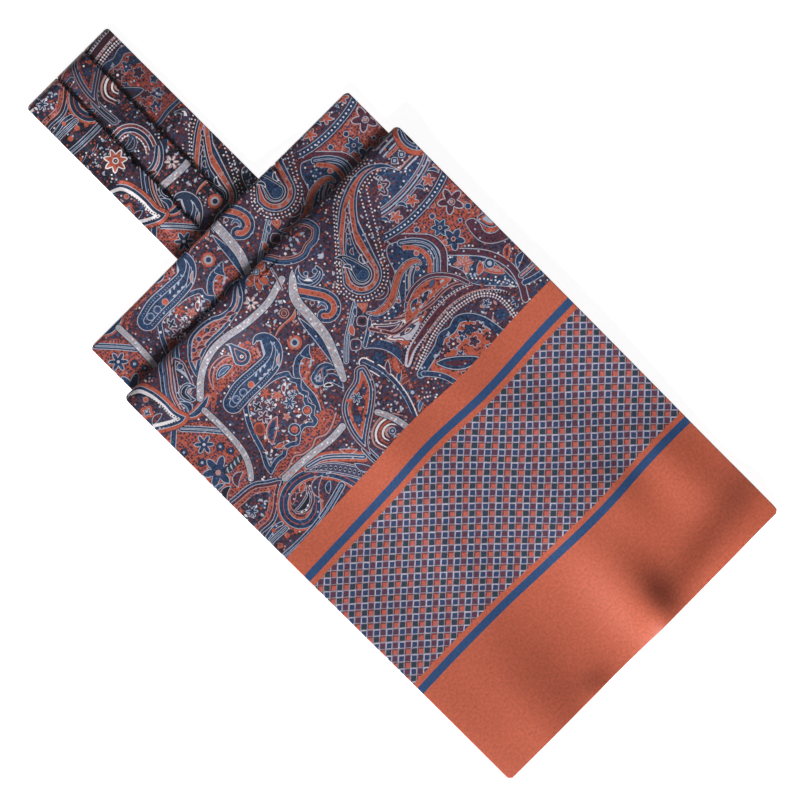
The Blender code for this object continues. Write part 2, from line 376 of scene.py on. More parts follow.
def front_half_width(v):
    """Half the front blade's width, less the round corners of its fold and of its plain end."""
    width = mix(FRONT_WIDTH, FRONT_END_WIDTH, smooth_step(FRONT_FOLD_Y, BLADE_END_Y, v))
    into_end = np.clip(1.0 - (v - BLADE_END_Y - SILK / 2) / END_CORNER, 0.0, 1.0)
    at_end = END_CORNER * (1.0 - np.sqrt(1.0 - into_end ** 2))
    return width / 2 - fold_corner("front", v) - at_end


def rear_half_width(v):
    """Half the rear blade's width, less the round corners of its fold."""
    return REAR_WIDTH / 2 - fold_corner("rear", v)


def core_top(x, y):
    """Height of the hidden layers' top under the front blade."""
    taper = smooth_step(CORE_END_Y, CORE_END_Y + CORE_TAPER, y)
    smooth = front_over(x, y) - crest_heights(WAVES, x, y)
    return np.maximum((smooth - CORE_CLEAR) * taper, CORE_END_THICKNESS)


def layer_thickness(u, v):
    """Thickness of one of the hidden layers."""
    return core_top(u, v) / len(CORE_LAYERS) - LAYER_GAP


def layer_half_width(number, v):
    """Half the width of a hidden layer, counted from the lowest."""
    above, below = CORE_LAYERS[number]
    return mix(above, below, smooth_step(CORE_TURN_Y + CORE_TURN_LENGTH, CORE_TURN_Y, v))


def place_layer(number):
    """The lower face of a hidden layer, seen from below, as a function of u and v."""

    def place(u, v):
        return np.stack([-u, v, number / len(CORE_LAYERS) * core_top(u, v)], axis=-1)

    return place


def place_band_back(u, v):
    """The neckband's lower face, seen from below."""
    return np.stack([-u, v, 0 * u], axis=-1)


# ---------------------------------------------------------------- cloth from flat panels


def steps(first, last, size):
    """Even steps of about that size from first to last, both among them."""
    return np.linspace(first, last, max(int(round(abs(last - first) / size)), 1) + 1)


def panel_outline(half_width, v_low, v_high, size):
    """A panel's outline, once round to the left, from its half width at v and its two ends."""
    across = steps(-1.0, 1.0, size / float(half_width(np.array(v_low))))[1:]
    up = steps(v_low, v_high, size)[1:]
    down = up[::-1][1:]
    low, high = half_width(np.array(v_low)), half_width(np.array(v_high))
    return np.vstack([
        np.column_stack([across * low, np.full(len(across), v_low)]),
        np.column_stack([half_width(up), up]),
        np.column_stack([-across * high, np.full(len(across), v_high)]),
        np.column_stack([-half_width(down), down]),
        [(-low, v_low)],
    ])


def free_grid(outline, columns, rows, clear=0.7):
    """Points of a grid, in staggered rows, that are inside an outline and clear of it."""
    points = []
    for index, v in enumerate(rows):
        shift = 0.5 * (index % 2) * (columns[1] - columns[0])
        points.append(np.column_stack([columns + shift, np.full(len(columns), v)]))
    points = np.vstack(points)
    gap = np.linalg.norm(points[:, None] - outline[None], axis=-1).min(axis=1)
    return points[inside(outline, points) & (gap > clear)]


def inside(loop, points):
    """Whether each point is inside a closed loop, by the crossings to its right."""
    start, end = loop, np.roll(loop, -1, axis=0)
    x, y = points[:, 0, None], points[:, 1, None]
    spans = (start[:, 1] > y) != (end[:, 1] > y)
    with np.errstate(divide="ignore", invalid="ignore"):
        crossing = start[:, 0] + (y - start[:, 1]) * (end[:, 0] - start[:, 0]) / (
            end[:, 1] - start[:, 1]
        )
        hits = spans & (x < crossing)
    return hits.sum(axis=1) % 2 == 1


def triangulate(outline, free, art):
    """Points and triangles of a flat panel, and the number of the topmost loop on each triangle.

    The art's loops count from 1, the later ones on top, and show only in their own region of the
    panel. Number 0 is the bare panel.
    """
    corners, faces = [], []
    for loop in [outline] + art.loops:
        faces.append(list(range(len(corners), len(corners) + len(loop))))
        corners.extend(Vector(point) for point in loop)
    corners.extend(Vector(point) for point in free)
    points, _, triangles, _, _, covers = delaunay_2d_cdt(corners, [], faces, 1, MERGED, True)
    flat = np.array([tuple(point) for point in points])
    kept = [number for number, cover in enumerate(covers) if 0 in cover]
    triangles = np.array([triangles[number] for number in kept])
    here = art.region_at(flat[triangles].mean(axis=1))
    regions = [None] + art.regions
    tops = np.array([
        max([loop for loop in covers[number] if regions[loop] == region] + [0])
        for number, region in zip(kept, here.tolist())
    ])
    used, renamed = np.unique(triangles, return_inverse=True)
    return flat[used], renamed.reshape(triangles.shape), tops


def boundary_loop(triangles):
    """The boundary's points in order, once round, and the triangle beside each boundary edge."""
    edges = {}
    for number, (a, b, c) in enumerate(triangles.tolist()):
        for edge in ((a, b), (b, c), (c, a)):
            edges[edge] = number
    following = {a: (b, number) for (a, b), number in edges.items() if (b, a) not in edges}
    start = min(following)
    loop, beside = [], []
    while not loop or loop[-1] != start:
        point, number = following[loop[-1] if loop else start]
        loop.append(point)
        beside.append(number)
    return np.array(loop), np.array(beside)


class Cloth:
    """The points, triangles and per-triangle paint of closed shells, as they are gathered.

    The shells lie side by side in the piece's bake map, and shell is the number of the one at work.
    """

    def __init__(self, shells=1):
        self.points, self.normals, self.triangles = [], [], []
        self.weave, self.bake, self.paints = [], [], []
        self.count, self.shell, self.shells = 0, 0, shells

    def add_points(self, points, normals):
        """Adds points and returns their numbers."""
        numbers = np.arange(self.count, self.count + len(points))
        self.points.append(points)
        self.normals.append(normals)
        self.count += len(points)
        return numbers

    def add_triangles(self, triangles, weave, bake, paints):
        """Adds triangles with the weave and bake coordinates of their corners, and their paints."""
        self.triangles.append(triangles)
        self.weave.append(weave)
        self.bake.append((bake + (self.shell, 0.0)) / (self.shells, 1.0))
        self.paints.append(paints)


def fitted(points, low, high):
    """Points moved and stretched so that their box fills the one from low to high."""
    smallest, largest = points.min(axis=0), points.max(axis=0)
    return low + (points - smallest) / (largest - smallest) * (np.array(high) - low)


# The places of a shell's face, rim and reverse in its bake map.
FACE_MAP = ((0.005, 0.205), (0.995, 0.995))
RIM_MAP = ((0.005, 0.18), (0.995, 0.195))
REVERSE_MAP = ((0.005, 0.005), (0.995, 0.17))

# The reverse's print keeps this clear of its edge, and a point of it that is this near to one of the
# rim's last ring is that one.
REVERSE_CLEAR = 0.5
ON_RIM = 1e-3


def add_face(cloth, place, outline, free, art, lift):
    """The printed face, and what its reverse and rim need to know of its boundary."""
    flat, triangles, tops = triangulate(outline, free, art)
    u, v = flat[:, 0], flat[:, 1]
    normal, along_u, along_v = normals_of(place, u, v)
    face = place(u, v) + normal * lift
    numbers = cloth.add_points(face, normal)
    paints = art.paints_at(tops)
    cloth.add_triangles(numbers[triangles], flat[triangles], fitted(flat, *FACE_MAP)[triangles], paints)
    loop, beside = boundary_loop(triangles)
    run = np.roll(flat[loop], -1, axis=0) - np.roll(flat[loop], 1, axis=0)
    run /= np.linalg.norm(run, axis=1, keepdims=True)
    outward = run[:, 1:] * along_u[loop] - run[:, :1] * along_v[loop]
    outward -= normal[loop] * (outward * normal[loop]).sum(axis=1, keepdims=True)
    outward /= np.linalg.norm(outward, axis=1, keepdims=True)
    return numbers[loop], flat[loop], face[loop], normal[loop], outward, paints[beside]


def add_rim(cloth, first, flat, face, normal, outward, paints, wall):
    """The round rim from the face's boundary to the reverse's, and the numbers of the last ring."""
    radius = wall(flat[:, 0], flat[:, 1])[:, None] / 2
    ring = first
    onward = np.roll(np.arange(len(first)), -1)
    ways = np.append(np.linspace(0.0, 1.0, len(first), endpoint=False), 1.0)
    low, high = np.array(RIM_MAP)
    for step in range(RIM_STEPS):
        angle = math.pi * (step + 1) / RIM_STEPS
        turned = normal * math.cos(angle) + outward * math.sin(angle)
        following = cloth.add_points(face - normal * radius + turned * radius, turned)
        rows = low[1] + (high[1] - low[1]) * np.array([step, step + 1]) / RIM_STEPS
        a, b = np.arange(len(first)), onward
        numbers = np.stack([ring[b], ring[a], following[a], following[b]], axis=1)
        here = np.column_stack([mix(low[0], high[0], ways[:-1]), np.full(len(a), rows[0])])
        there = np.column_stack([mix(low[0], high[0], ways[1:]), np.full(len(a), rows[0])])
        lift = np.array([0.0, rows[1] - rows[0]])
        bake = np.stack([there, here, here + lift, there + lift], axis=1)
        weave = np.stack([flat[b], flat[a], flat[a], flat[b]], axis=1)
        for corners in ([0, 1, 2], [0, 2, 3]):
            cloth.add_triangles(numbers[:, corners], weave[:, corners], bake[:, corners], paints)
        ring = following
    return ring


def add_reverse(cloth, place, last, loop, free, art, wall, lift):
    """The reverse, which shares the rim's last ring, with the main shapes of the print."""
    clear = fitted(loop, loop.min(axis=0) + REVERSE_CLEAR, loop.max(axis=0) - REVERSE_CLEAR)
    reverse = art.reverse(clear)
    flat, triangles, tops = triangulate(loop, free, reverse)
    gap = np.linalg.norm(flat[:, None] - loop[None], axis=-1)
    nearest = gap.argmin(axis=1)
    on_rim = gap.min(axis=1) < ON_RIM
    u, v = flat[:, 0], flat[:, 1]
    normal = normals_of(place, u, v)[0]
    numbers = np.where(on_rim, last[nearest], 0)
    below = place(u, v) + normal * (lift - wall(u, v))[:, None]
    inner = cloth.add_points(below[~on_rim], -normal[~on_rim])
    numbers[~on_rim] = inner
    paints = reverse.paints_at(tops)
    turned = triangles[:, ::-1]
    bake = fitted(flat, *REVERSE_MAP)
    cloth.add_triangles(numbers[turned], flat[turned], bake[turned], paints)


def cloth_mesh(name, cloth):
    """A mesh of the gathered shell, with its normals, its coordinates and its print as a colour."""
    points = np.vstack(cloth.points) * MM
    normals = np.vstack(cloth.normals)
    triangles = np.vstack(cloth.triangles)
    mesh = bpy.data.meshes.new(name)
    mesh.vertices.add(len(points))
    mesh.vertices.foreach_set("co", points.ravel())
    mesh.loops.add(triangles.size)
    mesh.loops.foreach_set("vertex_index", triangles.ravel())
    mesh.polygons.add(len(triangles))
    mesh.polygons.foreach_set("loop_start", np.arange(0, triangles.size, 3))
    mesh.update(calc_edges=True)
    mesh.shade_smooth()
    for title, corners, scale in (("Weave", cloth.weave, MM), ("OFBake", cloth.bake, 1.0)):
        layer = mesh.uv_layers.new(name=title)
        layer.data.foreach_set("uv", (np.vstack(corners) * scale).ravel())
    paints = np.vstack(cloth.paints)
    colours = np.repeat(np.column_stack([paints[:, :3], np.ones(len(paints))]), 3, axis=0)
    layer = mesh.color_attributes.new(name="Print", type="FLOAT_COLOR", domain="CORNER")
    layer.data.foreach_set("color", colours.ravel())
    layer = mesh.attributes.new(name="Spots", type="FLOAT", domain="FACE")
    layer.data.foreach_set("value", paints[:, 3].copy())
    mesh.normals_split_custom_set_from_vertices(normals)
    return mesh


def even_wall(thickness):
    """The thickness of a wall, as a function of u and v that is the same everywhere."""
    return lambda u, v: thickness + 0 * u


def add_shell(cloth, place, outline, free, reverse_free, art, wall=even_wall(SILK), lift=0.0):
    """Adds a closed shell: its printed face, its round rim and its reverse."""
    first, flat, face, normal, outward, paints = add_face(cloth, place, outline, free, art, lift)
    last = add_rim(cloth, first, flat, face, normal, outward, paints, wall)
    add_reverse(cloth, place, last, flat, reverse_free, art, wall, lift)


def add_piece(name, cloth, silk, node):
    """The object of the gathered shells, in place of its solid."""
    piece = bpy.data.objects.new(name, cloth_mesh(name, cloth))
    bpy.context.scene.collection.objects.link(piece)
    piece.data.materials.append(silk)
    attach(piece, "root")
    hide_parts(node)
    return piece


# ---------------------------------------------------------------- curves of the print

# Points that a smooth curve is worked out at between each two given ones.
CURVE_POINTS = 8

# Two sides of a loop cross if they meet further than this share of their length from their ends.
CROSSING_CLEAR = 1e-6

# The least radius of a line, how far a point of its outline may be inside it, and the points of its
# round ends for each millimetre of radius.
LINE_LEAST = 0.02
LINE_SLACK = 0.03
CAP_POINTS = 3

# The points of an inset loop keep at least this share of its distance from the first loop.
INSET_SHARE = 0.97


def curve(points, closed=False, step=1.0):
    """Points about a step apart on a smooth curve through the given ones, with all their columns."""
    given = np.array(points, float)
    count = len(given)
    if closed:
        wanted = np.arange(count * CURVE_POINTS) / CURVE_POINTS
        picks = [given[(wanted.astype(int) + shift) % count] for shift in (-1, 0, 1, 2)]
    else:
        wanted = np.arange((count - 1) * CURVE_POINTS + 1) / CURVE_POINTS
        start = np.minimum(wanted.astype(int), count - 2)
        padded = np.vstack([2 * given[:1] - given[1:2], given, 2 * given[-1:] - given[-2:-1]])
        picks = [padded[start + shift] for shift in (0, 1, 2, 3)]
        wanted = wanted - start
    share = (wanted % 1.0 if closed else wanted)[:, None]
    before, here, there, after = picks
    dense = 0.5 * (
        2 * here
        + (there - before) * share
        + (2 * before - 5 * here + 4 * there - after) * share ** 2
        + (3 * here - before - 3 * there + after) * share ** 3
    )
    if closed:
        dense = np.vstack([dense, dense[:1]])
    lengths = np.linalg.norm(np.diff(dense[:, :2], axis=0), axis=1)
    way = np.concatenate([[0.0], np.cumsum(lengths)])
    stops = np.linspace(0.0, way[-1], max(int(round(way[-1] / step)), 3) + 1)
    even = np.column_stack([np.interp(stops, way, column) for column in dense.T])
    return even[:-1] if closed else even


def area_of(loop):
    """Area inside a loop, negative if it goes round to the right."""
    after = np.roll(loop, -1, axis=0)
    return 0.5 * float((loop[:, 0] * after[:, 1] - loop[:, 1] * after[:, 0]).sum())


def crossing_of(loop):
    """The first two sides of a closed loop that cross, and where, or None."""
    a, b = loop, np.roll(loop, -1, axis=0)
    run = b - a
    offset = a[None] - a[:, None]
    turn = run[:, None, 0] * run[None, :, 1] - run[:, None, 1] * run[None, :, 0]
    with np.errstate(divide="ignore", invalid="ignore"):
        first = (offset[..., 0] * run[None, :, 1] - offset[..., 1] * run[None, :, 0]) / turn
        second = (offset[..., 0] * run[:, None, 1] - offset[..., 1] * run[:, None, 0]) / turn
    low, high = CROSSING_CLEAR, 1 - CROSSING_CLEAR
    inner = (first > low) & (first < high) & (second > low) & (second < high)
    pairs = np.argwhere(np.triu(inner))
    if len(pairs) == 0:
        return None
    one, other = pairs[0]
    return one, other, a[one] + run[one] * first[one, other]


def unknotted(loop):
    """A closed loop that doesn't cross itself: of each two halves at a crossing, the larger one."""
    found = crossing_of(loop) if len(loop) > 3 else None
    while found is not None:
        one, other, point = found
        halves = [
            np.vstack([[point], loop[one + 1:other + 1]]),
            np.vstack([[point], loop[other + 1:], loop[:one + 1]]),
        ]
        loop = max(halves, key=area_of)
        found = crossing_of(loop) if len(loop) > 3 else None
    return loop


def envelope(spine):
    """The outline of a line with a radius at each point, as x, y and radius."""
    middle, radius = spine[:, :2], np.maximum(spine[:, 2], LINE_LEAST)
    way = np.gradient(middle, axis=0)
    way /= np.linalg.norm(way, axis=1, keepdims=True)
    left = np.column_stack([-way[:, 1], way[:, 0]])
    sides = [middle - left * radius[:, None], (middle + left * radius[:, None])[::-1]]
    caps = []
    for end, direction in ((-1, 1), (0, -1)):
        count = int(radius[end] * CAP_POINTS) + 1
        angles = np.linspace(-math.pi / 2, math.pi / 2, count + 2)[1:-1, None]
        turned = way[end] * np.cos(angles) + left[end] * np.sin(angles)
        caps.append(middle[end] + turned * direction * radius[end])
    loop = np.vstack([sides[0], caps[0], sides[1], caps[1]])
    gaps = np.linalg.norm(loop[:, None] - middle[None], axis=-1) - radius[None]
    return loop[gaps.min(axis=1) > -LINE_SLACK]


def inset(loop, distance):
    """A loop moved inwards, without the points that come too near to the first loop."""
    way = np.roll(loop, -1, axis=0) - np.roll(loop, 1, axis=0)
    way /= np.maximum(np.linalg.norm(way, axis=1, keepdims=True), 1e-9)
    moved = loop + np.column_stack([-way[:, 1], way[:, 0]]) * distance
    gaps = np.linalg.norm(moved[:, None] - loop[None], axis=-1).min(axis=1)
    return moved[gaps > abs(distance) * INSET_SHARE]


# ---------------------------------------------------------------- the print


def silk_colour(red, green, blue):
    """Linear colour of a dye, from its 8 bit display values."""
    shares = np.array([red, green, blue]) / 255
    return np.where(shares <= 0.04045, shares / 12.92, ((shares + 0.055) / 1.055) ** 2.4)


# What is strewn over a dye, as fine spots.
BARE, MIXED, FLECKED, NIGHT, GRAINY, WARM, COOL, DEEP, DIM, DUSKY = range(10)

DYES = {
    # name: colour, spots
    "orange": (silk_colour(188, 93, 69), BARE),
    "ember": (silk_colour(172, 84, 64), WARM),
    "rust": (silk_colour(116, 54, 50), BARE),
    "navy": (silk_colour(35, 58, 92), COOL),
    "stripe": (silk_colour(42, 74, 118), BARE),
    "blue": (silk_colour(62, 88, 124), BARE),
    "slate": (silk_colour(48, 64, 102), BARE),
    "ink": (silk_colour(30, 30, 44), BARE),
    "plum": (silk_colour(80, 42, 58), DEEP),
    "light": (silk_colour(164, 170, 187), BARE),
    "pale": (silk_colour(184, 180, 194), BARE),
    "white": (silk_colour(216, 210, 214), BARE),
    "grey": (silk_colour(150, 146, 152), BARE),
    "pink": (silk_colour(172, 128, 126), BARE),
    "green": (silk_colour(46, 58, 70), BARE),
    "haze": (silk_colour(144, 136, 154), BARE),
    "mulberry": (silk_colour(88, 54, 74), BARE),
    "clay": (silk_colour(186, 92, 80), BARE),
    "dusk": (silk_colour(66, 62, 90), BARE),
    # The next five dyes are darker copies of the print's dyes, which paint shade on the neckband.
    "midnight": (silk_colour(31, 46, 72), DIM),
    "umber": (silk_colour(54, 28, 38), BARE),
    "brick": (silk_colour(134, 60, 46), DEEP),
    "coal": (silk_colour(28, 25, 37), DUSKY),
    "smoke": (silk_colour(124, 124, 138), BARE),
    "ground": (silk_colour(64, 44, 60), MIXED),
    "dark": (silk_colour(42, 42, 60), MIXED),
    "fleck": (silk_colour(166, 82, 68), FLECKED),
    "night": (silk_colour(42, 60, 92), NIGHT),
    "ribbon": (silk_colour(166, 160, 168), GRAINY),
}

# The dyes of the spots, each with its share of them.
SPOTS = {
    MIXED: "ember 1 rust 5 navy 4 dusk 7 blue 2 light 1 pink 1 ink 4 white 1 plum 5",
    FLECKED: "ink 3 plum 5 navy 4 rust 5 pink 1 dusk 2 ember 2",
    NIGHT: "light 2 navy 4 ink 4 white 1 blue 3 rust 2 dusk 3",
    GRAINY: "white 3 light 2 haze 3 grey 5 pink 1",
    WARM: "ember 9 rust 3 clay 3 pink 1",
    COOL: "navy 9 blue 2 ink 4 dusk 3 light 0.4",
    DEEP: "plum 8 rust 2 ink 2 dusk 2 light 0.5",
    # The spots of the two darker dyes that paint shade on the neckband.
    DIM: "midnight 9 ink 5 slate 2 umber 2",
    DUSKY: "ink 7 plum 4 rust 4 midnight 5 dusk 2 ember 1 light 1 white 0.6",
}


# Loops with less area than this, and rings and strands narrower than these, are left out.
LEAST_AREA = 0.02
LEAST_RADIUS = 0.1
LEAST_HALF_WIDTH = 0.05

# The shapes of the motifs: the points along a leaf, how full it is and the half width of its tips;
# the points of a flower's petal and how hollow its sides are; the points of a round spot, in all and
# for each millimetre of radius; and the half length of a tooth, as a share of the teeth's pitch.
LEAF_POINTS = 7
LEAF_FULLNESS = 0.8
LEAF_TIP = 0.06
PETAL_POINTS = 10
PETAL_HOLLOW = 1.5
RING_POINTS = 5
RING_POINTS_MORE = 2.5
TOOTH_SHARE = 0.42

# Half the length and half the width of a strewn leaf: the least, and how much more the largest has.
STREWN_LENGTH = (0.5, 0.6)
STREWN_WIDTH = (0.3, 0.25)

# A print shows all its loops between its fine rows, and elsewhere only those with more area than
# this. Hidden cloth has no fine rows.
SMALL_LOOP = 1.0
EVERYWHERE = (-math.inf, math.inf)
HIDDEN = (0.0, 0.0)

# The reverse shows only loops of more than this area, with every third of their points, and only
# those that are still inside its outline when they are this much smaller.
REVERSE_LEAST = 30.0
REVERSE_STEP = 3
REVERSE_SHRINK = 0.9999


class Print:
    """Closed loops in painter's order, each with its dye and the region of the panel it shows in."""

    def __init__(self, ground, region_at=lambda points: np.zeros(len(points), int)):
        self.ground, self.region_at = ground, region_at
        self.loops, self.dyes, self.regions = [], [], []

    def add(self, loop, dye, region=0):
        """Adds a loop, less any small knots in it, if it has an inside."""
        loop = unknotted(loop)
        if len(loop) > 2 and area_of(loop) > LEAST_AREA:
            self.loops.append(loop)
            self.dyes.append(dye)
            self.regions.append(region)

    def paints_at(self, tops):
        """Colour and spots of each triangle, from the number of the loop that is topmost on it."""
        paints = [(*DYES[dye][0], DYES[dye][1]) for dye in [self.ground] + self.dyes]
        return np.array(paints)[tops]

    def reverse(self, outline):
        """The large loops inside an outline, narrowed to it, for the other side of the cloth."""
        other = Print(self.ground, self.region_at)
        for loop, dye, region in zip(self.loops, self.dyes, self.regions):
            narrowed = np.clip(loop, outline.min(axis=0), outline.max(axis=0))
            within = inside(outline, narrowed * REVERSE_SHRINK).all()
            if area_of(loop) > REVERSE_LEAST and within:
                other.add(narrowed[::REVERSE_STEP], dye, region=region)
        return other

    def place(self, other, shift, low, high, region=0, fine=EVERYWHERE, redyed=None):
        """Adds another print's loops, moved, where they reach into the box from low to high.

        Small loops are left out unless they are between the fine rows. Redyed has another dye for
        each dye that changes.
        """
        redyed = redyed or {}
        for loop, dye in zip(other.loops, other.dyes):
            moved = loop + shift
            reaches = (moved.max(axis=0) > low).all() and (moved.min(axis=0) < high).all()
            shows = fine[0] < moved[0, 1] < fine[1] or area_of(loop) > SMALL_LOOP
            if reaches and shows:
                self.loops.append(moved)
                self.dyes.append(redyed.get(dye, dye))
                self.regions.append(region)

    def nest(self, dyes, loop):
        """A closed loop with its dyes from the outside inwards."""
        if area_of(loop) < 0:
            loop = loop[::-1]
        for depth, dye in layers(dyes):
            self.add(inset(loop, depth) if depth else loop, dye)

    def patch(self, dyes, points):
        """A smooth closed shape through the given points."""
        self.nest(dyes, curve(points, closed=True))

    def strand(self, dyes, points):
        """A smooth line with a half width at each point, as x, y and half width."""
        spine = curve(points)
        for depth, dye in layers(dyes):
            thinner = spine - (0.0, 0.0, depth)
            thinner = thinner[thinner[:, 2] > LEAST_HALF_WIDTH]
            if len(thinner) > 2:
                self.add(envelope(thinner), dye)

    def band(self, dyes, half_width, points):
        """A smooth line with the same half width all along."""
        self.strand(dyes, [(x, y, half_width) for x, y in points])

    def leaf(self, dyes, half_width, x, y, tip_x, tip_y, bend=0.12):
        """A pointed leaf from one point to another, bent to its left."""
        shares = np.linspace(0.0, 1.0, LEAF_POINTS)
        swell = np.sin(math.pi * shares)
        way = np.array([tip_x - x, tip_y - y])
        middle = np.outer(shares, way) + (x, y) + np.outer(swell, (-way[1], way[0])) * bend
        self.strand(dyes, np.column_stack([middle, half_width * swell ** LEAF_FULLNESS + LEAF_TIP]))

    def flower(self, dyes, x, y, radius, petals, depth=0.3, turn=0.3):
        """An open flower with pointed petals."""
        angles = np.linspace(0.0, 2 * math.pi, PETAL_POINTS * petals, endpoint=False)
        from_tip = np.abs((angles * petals / math.pi + 1.0) % 2.0 - 1.0)
        reach = radius * (1.0 - 2.0 * depth * from_tip ** PETAL_HOLLOW)
        around = np.column_stack([np.cos(angles + turn), np.sin(angles + turn)])
        self.nest(dyes, around * reach[:, None] + (x, y))

    def strew(self, outline, pitch, *kinds):
        """Small bent leaves in all directions inside an outline, about a pitch apart."""
        loop = np.array(outline, float)
        low, high = loop.min(axis=0), loop.max(axis=0)
        for x in np.arange(low[0], high[0], pitch):
            for y in np.arange(low[1], high[1], pitch):
                across, up, turn, length, bend, kind = DRAW.random(6)
                centre = np.array([x + across * pitch, y + up * pitch])
                if inside(loop, centre[None])[0]:
                    way = np.array([math.cos(2 * math.pi * turn), math.sin(2 * math.pi * turn)])
                    reach = way * (STREWN_LENGTH[0] + STREWN_LENGTH[1] * length)
                    half_width = STREWN_WIDTH[0] + STREWN_WIDTH[1] * length
                    dyes = kinds[int(kind * len(kinds))]
                    self.leaf(dyes, half_width, *(centre - reach), *(centre + reach), bend - 0.5)

    def teeth(self, dye, width, pitch, points, side=0.0):
        """A row of small diamonds along a smooth line, or beside it."""
        spine = curve(points, step=pitch)
        way = np.gradient(spine, axis=0)
        way /= np.linalg.norm(way, axis=1, keepdims=True)
        across = np.column_stack([-way[:, 1], way[:, 0]])
        places, halves = spine + across * side, way * pitch * TOOTH_SHARE
        for place, along, aside in zip(places, halves, across * width):
            self.add(np.array([place - along, place - aside, place + along, place + aside]), dye)

    def ring(self, dyes, *centres):
        """Round spots, each given as x, y and radius."""
        for x, y, radius in centres:
            count = int(RING_POINTS + RING_POINTS_MORE * radius)
            angles = np.linspace(0.0, 2 * math.pi, count, endpoint=False)
            around = np.column_stack([np.cos(angles), np.sin(angles)])
            for depth, dye in layers(dyes):
                if radius - depth > LEAST_RADIUS:
                    self.add(around * (radius - depth) + (x, y), dye)

    def dots(self, dye, radius, pitch, points):
        """A row of small dots along a smooth line."""
        for x, y in curve(points, step=pitch):
            self.ring(dye, (x, y, radius))

    def beads(self, dye, radius, pitch, loop):
        """A row of small dots right round a loop."""
        closed = np.vstack([loop, loop[:1]])
        way = np.concatenate([[0.0], np.cumsum(np.linalg.norm(np.diff(closed, axis=0), axis=1))])
        for stop in np.arange(0.0, way[-1] - pitch / 2, pitch):
            x, y = np.interp(stop, way, closed[:, 0]), np.interp(stop, way, closed[:, 1])
            self.ring(dye, (x, y, radius))


def layers(text):
    """Pairs of depth and dye from a text of dyes with the width of each but the last between."""
    words = text.split()
    depths = np.concatenate([[0.0], np.cumsum([float(word) for word in words[1::2]])])
    return list(zip(depths, words[0::2]))


# Draws the small irregularities of the print, in the order of its motifs.
DRAW = np.random.default_rng(7)

# The paisley repeats along the cravat. It is as wide as this to each side, and PAISLEY_HIGH is the
# top of the repeat that the front blade shows.
PAISLEY_SIDE = 90.0
PAISLEY_HIGH = 58.0
PAISLEY_REPEAT = 112.0


# ---------------------------------------------------------------- the paisley

# Each motif below is drawn in the print's own millimetres, with y along the cravat. A text
# of dyes runs from the outside inwards, with the width of each.


def draw_ribbon(art, half_width, points):
    """A pale grainy ribbon between thin dark edges."""
    art.band("ink 0.3 light 0.24 ribbon", half_width + 0.3, points)


def draw_left_ground(art):
    """The flecked orange ground at the left, with its blue flowers."""
    ground = [(-84, 28), (-72, 30), (-66, 28), (-60, 22), (-59.5, 8), (-61, 0), (-65, -5), (-84, -6)]
    art.patch("fleck", ground)
    art.band("light 0.3 navy", 1.2, [(-82, 22), (-77, 26.5), (-72, 31)])
    art.band("light 0.3 navy 0.6 light 0.3 navy", 1.3, [(-70, 29), (-64, 22.5), (-59, 16.5)])
    art.flower("light 0.3 navy", -68, 18, 4.2, 6)
    art.ring("pale", (-68, 18, 0.7))
    art.flower("light 0.33 navy", -71.6, 6.4, 6.6, 6, depth=0.27, turn=0.5)
    art.ring("pink", (-72, 6, 1.2))
    art.ring("ink 0.3 navy 0.9 light", (-76, 21.5, 1.7), (-73.7, 13.4, 1.8), (-64, 12.8, 1.8))
    art.ring("ink 0.3 navy 0.9 light", (-62.2, 8.6, 1.6), (-79, 15, 1.5))
    art.patch("ink 0.4 green", [(-69.5, 5.2), (-61, 5), (-62, 2.6), (-69.5, 3)])
    for x in range(-69, -61, 2):
        art.leaf("light", 0.3, x, 2.7, x + 1.2, 5.0)
    art.leaf("light 0.3 plum", 1.6, -70.5, -4, -64.5, -1, bend=0.3)
    art.leaf("light 0.3 ink", 1.5, -78, -5, -72, -1.5, bend=0.3)
    art.leaf("light 0.3 navy", 1.0, -79, 1.5, -73, 0.8)


def draw_top_left_leaf(art):
    """The leaf at the top left, with white toothed borders and a tail."""
    art.strand("ember 0.8 light 0.3 navy",
               [(-66, 31.5, 0.8), (-62, 29.3, 2.0), (-57, 29.4, 2.0), (-53.2, 30.5, 1.3)])
    outline = [(-84, 58), (-74, 56.5), (-68.3, 53.5), (-65.6, 48), (-64.8, 41), (-65, 35.5),
               (-63.6, 30.4), (-67.5, 28.8), (-72, 30.2), (-78, 33.8), (-84, 38)]
    art.patch("plum 0.3 ember 1.4 light 0.27 navy 1.1 white 1.4 dark", outline)
    art.teeth("ink", 0.34, 1.1, [(-76, 53), (-71, 48.6), (-69.1, 42), (-69.1, 36), (-67.9, 33.4)])
    art.teeth("ink", 0.34, 1.1, [(-80, 38.4), (-74.6, 35), (-70.2, 32.9), (-68.2, 32.6)])
    art.flower("plum 0.4 ember 1.0 light 0.24 navy", -75, 43.2, 3.4, 4, depth=0.15)
    art.ring("light", (-74.8, 43.6, 0.6))
    art.ring("pink 0.4 ember", (-71.7, 47.2, 1.2))
    art.leaf("light 0.24 plum", 1.3, -77, 38, -71, 38.5)


